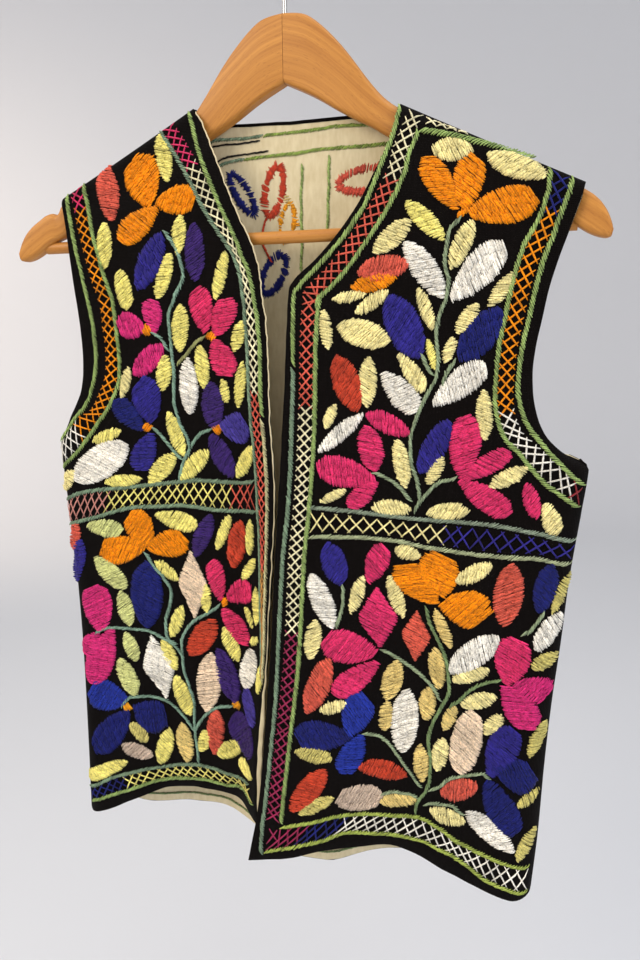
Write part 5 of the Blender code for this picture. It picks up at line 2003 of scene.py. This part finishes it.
chance = np.random.default_rng(35)
inside = [chain_line(chance, through(in_pairs(numbers)), dye, wide=width, stitch=4.6)
          for dye, width, *numbers in INSIDE_LINES]
inside += [tuft(chance, ring_spots(axis[:2], axis[2:], wide - length), dye, length, RING_PITCH)
           for dye, length, *axis, wide in INSIDE_RINGS]
inside += [tuft(chance, through(in_pairs(numbers)), dye, length, pitch)
           for dye, length, pitch, *numbers in INSIDE_TUFTS]
hem = smoothed(panels["back"][0][-1] + (0, INSIDE_HEM_LINE), 6)[3:-3]
inside.append(chain_line(chance, hem, "moss", wide=3.0, stitch=4.6))
sewn["back"].append(threads("back_inside_stitches", BACK, inside, depth_in=INSIDE))

# %% [markdown]
# ## Turned-in edges and the pale rim
#
# A cut edge of cotton frays, so the black cloth is turned in over the lining all round.
# Each turning is a narrow piece of the panel's own grid, laid inside the lining. Down the
# front edge of the wearer's right side the lining shows as a fine, slightly wavy rim.

# %% Turned-in edges
TURNED_CLOTH = 0.5  # mm thick: pressed flat
SEAM_ROW = int(np.searchsorted(row_steps(FRONT_PARTS), UNDERARM_ROW))
FRONT_TURNINGS = {
    "front_edge": (slice(None), slice(0, 2)),
    "armhole": (slice(0, SEAM_ROW + 1), slice(-5, None)),
    "hem": (slice(-2, None), slice(None)),
}
neck_columns = np.flatnonzero(
    (panels["back"][0][0, :, 0] > -70) & (panels["back"][0][0, :, 0] < 84)
)
BACK_TURNINGS = {
    "neck": (slice(0, 4), slice(neck_columns[0], neck_columns[-1] + 1)),
    "armhole_right": (slice(0, SEAM_ROW + 1), slice(0, 5)),
    "armhole_left": (slice(0, SEAM_ROW + 1), slice(-5, None)),
}
for name, turnings in (("left_front", FRONT_TURNINGS), ("right_front", FRONT_TURNINGS),
                       ("back", BACK_TURNINGS)):
    points, normals = panel_frames[name]
    for edge, part in turnings.items():
        piece = shell(f"{name}_turned_{edge}", points[part], normals[part],
                      INSIDE + 0.1, TURNED_CLOTH, black_plain_weave)
        sewn[name].append(dress(piece, "black_cloth"))

# %% The lining's rim down the right front
RIM_THICK, RIM_DEPTH = 1.0, 0.9  # mm: its thickness, and how far in from the outer face
# Table row and width of the rim (mm): towards the hem the lining has worked its way out.
RIM_WIDTHS = table("0.6 1.1, 16.4 1.2, 17.3 2, 18.2 4.8, 19.9 4.6")


def rim(name, edges, panel, samples=420):
    """An oval tube along the front edge, just outside it, waving by a few tenths."""
    rows = np.linspace(RIM_WIDTHS[0][0], RIM_WIDTHS[-1][0], samples)
    wide = column(RIM_WIDTHS, rows)
    wave = 0.25 * np.sin(rows * 9.0) + 0.18 * np.sin(rows * 17.3 + 1)
    spots = beside_edge(edges, 0, tuple(zip(rows, wave - 0.5 * wide + 0.15)), samples)
    points, normals = on_panel(panel, spots)
    points = points - normals * RIM_DEPTH
    along = np.gradient(points, axis=0)
    aside = unit(np.cross(along, normals))
    turn = np.radians(np.arange(8) * 45.0)
    rings = (points[:, None]
             + aside[:, None] * (0.5 * wide[:, None] * np.cos(turn))[..., None]
             + normals[:, None] * (0.5 * RIM_THICK * np.sin(turn))[:, None])
    tube, face_sets = capped_tube(rings)
    return dress(put_mesh(name, tube, face_sets, calico, uv=tube[:, [0, 2]] * MM), "lining_cloth")


sewn["right_front"].append(rim("right_front_pale_rim", RIGHT_EDGES, RIGHT_FRONT))

# %% [markdown]
# ## The side seams
#
# Front and back meet at the sides in a seam sewn from inside. From outside it is only a
# shallow groove with a ridge of black thread in it, which also closes it to the light.

# %% Close the side seams
SEAM_THREAD = 0.65  # mm: radius of the ridge


def side_seam(name, column):
    """A tube along the back's edge, half sunk into the groove between the panels."""
    points, normals = panel_frames["back"]
    path = points[SEAM_ROW:, column] - 0.8 * SEAM_THREAD * normals[SEAM_ROW:, column]
    tube, face_sets = capped_tube(round_stock(path - (0, 0.5 * GAP, 0), SEAM_THREAD, 8))
    seam = put_mesh(name, tube, face_sets, black_plain_weave, uv=tube[:, [0, 2]] * MM)
    return dress(seam, "black_cloth")


sewn["back"] += [side_seam("side_seam_right", 0), side_seam("side_seam_left", -1)]

# %% [markdown]


# %% [markdown]
# ## The room
#
# A pale wall and floor with soft light say nothing of their own and let the colours speak.
# The wall stands far off, so that the camera can also walk round behind the garment.

# %% Floor and wall
# Flat and even, so that it only carries the light.
pale_paint = new_material("matt wall paint, off-white", Roughness=0.9,
                          Base_Color=rgba("#dcdde0"))[0]
FLOOR_Z, WALL_RADIUS, WALL_TOP, BEND = -1.25, 4.2, 3.2, 1.2


def round_room():
    """A line of floor, quarter circle and wall, turned about the upright axis: one seamless
    sheet that looks the same from every side."""
    angle = np.linspace(0, math.pi / 2, 17)
    radius = WALL_RADIUS - BEND + BEND * np.sin(angle)
    height = FLOOR_Z + BEND - BEND * np.cos(angle)
    radius = np.concatenate([[0.02, 1.5], radius, [WALL_RADIUS]])
    height = np.concatenate([[FLOOR_Z, FLOOR_Z], height, [WALL_TOP]])
    around = np.linspace(0, 2 * math.pi, 97)[:-1]
    x = radius[:, None] * np.cos(around)
    y = radius[:, None] * np.sin(around)
    z = height[:, None] + 0 * around
    number = np.arange(x.size).reshape(x.shape)
    ahead = np.roll(number, -1, axis=1)
    quads = np.stack([number[:-1], number[1:], ahead[1:], ahead[:-1]], -1).reshape(-1, 4)
    points = np.stack([x, y, z], -1).reshape(-1, 3)
    mesh = bpy.data.meshes.new("room")
    mesh.from_pydata(points.tolist(), [], quads.tolist() + [number[0].tolist()])
    mesh.shade_smooth()
    mesh.materials.append(pale_paint)
    return in_scene("room", mesh)


round_room()

print("the wall stands", WALL_RADIUS, "m away")

# %% Lights
def soft_light(name, place, aim, size, watts, tint):
    """A square area light turned from its place to its aim: pitched from straight down, then
    turned about the upright axis."""
    data = bpy.data.lights.new(name, "AREA")
    data.size, data.energy, data.color = size, watts, tuple(linear(tint))
    lamp = in_scene(name, data)
    lamp.visible_camera = False
    lamp.location = place
    x, y, z = np.array(aim, float) - np.array(place, float)
    lamp.rotation_euler = (
        math.atan2(math.hypot(x, y), -z), 0.0, math.atan2(y, x) - math.pi / 2
    )


CENTRE = (0.0, 0.0, -0.4)
soft_light("window", (-1.5, -1.6, 0.9), CENTRE, 1.3, 44.0, "#fff2e2")
soft_light("ceiling", (0.4, -0.5, 1.9), CENTRE, 1.8, 26.0, "#fffdfa")
soft_light("far_side", (1.8, -1.0, 0.0), CENTRE, 1.6, 24.0, "#f2f5ff")
soft_light("wall_wash", (-2.2, 1.6, 0.3), (-3.0, 4.0, -0.6), 1.0, 15.0, "#ffecd8")
world = bpy.data.worlds.new("pale room")
world.use_nodes = True
sky = world.node_tree.nodes["Background"].inputs
sky["Color"].default_value, sky["Strength"].default_value = rgba("#e2e5ea"), 0.72
bpy.context.scene.world = world
bpy.context.scene.view_settings.view_transform = "Standard"

# %% [markdown]
# ## The camera
#
# It stands a little to the wearer's left and above the middle, half a metre away, and
# looks slightly down. So near, the garment's lower part runs away from the eye.

# %% Camera
camera = in_scene("camera", bpy.data.cameras.new("camera"))
camera.data.sensor_width, camera.data.lens = 36.0, 27.04
camera.data.clip_start, camera.data.clip_end = 0.01, 50.0
camera.location = (0.191, -0.533, -0.300)
camera.rotation_euler = (math.radians(78.0), 0.0, math.radians(17.2))
bpy.context.scene.camera = camera
print("camera at", tuple(round(v, 3) for v in camera.location))
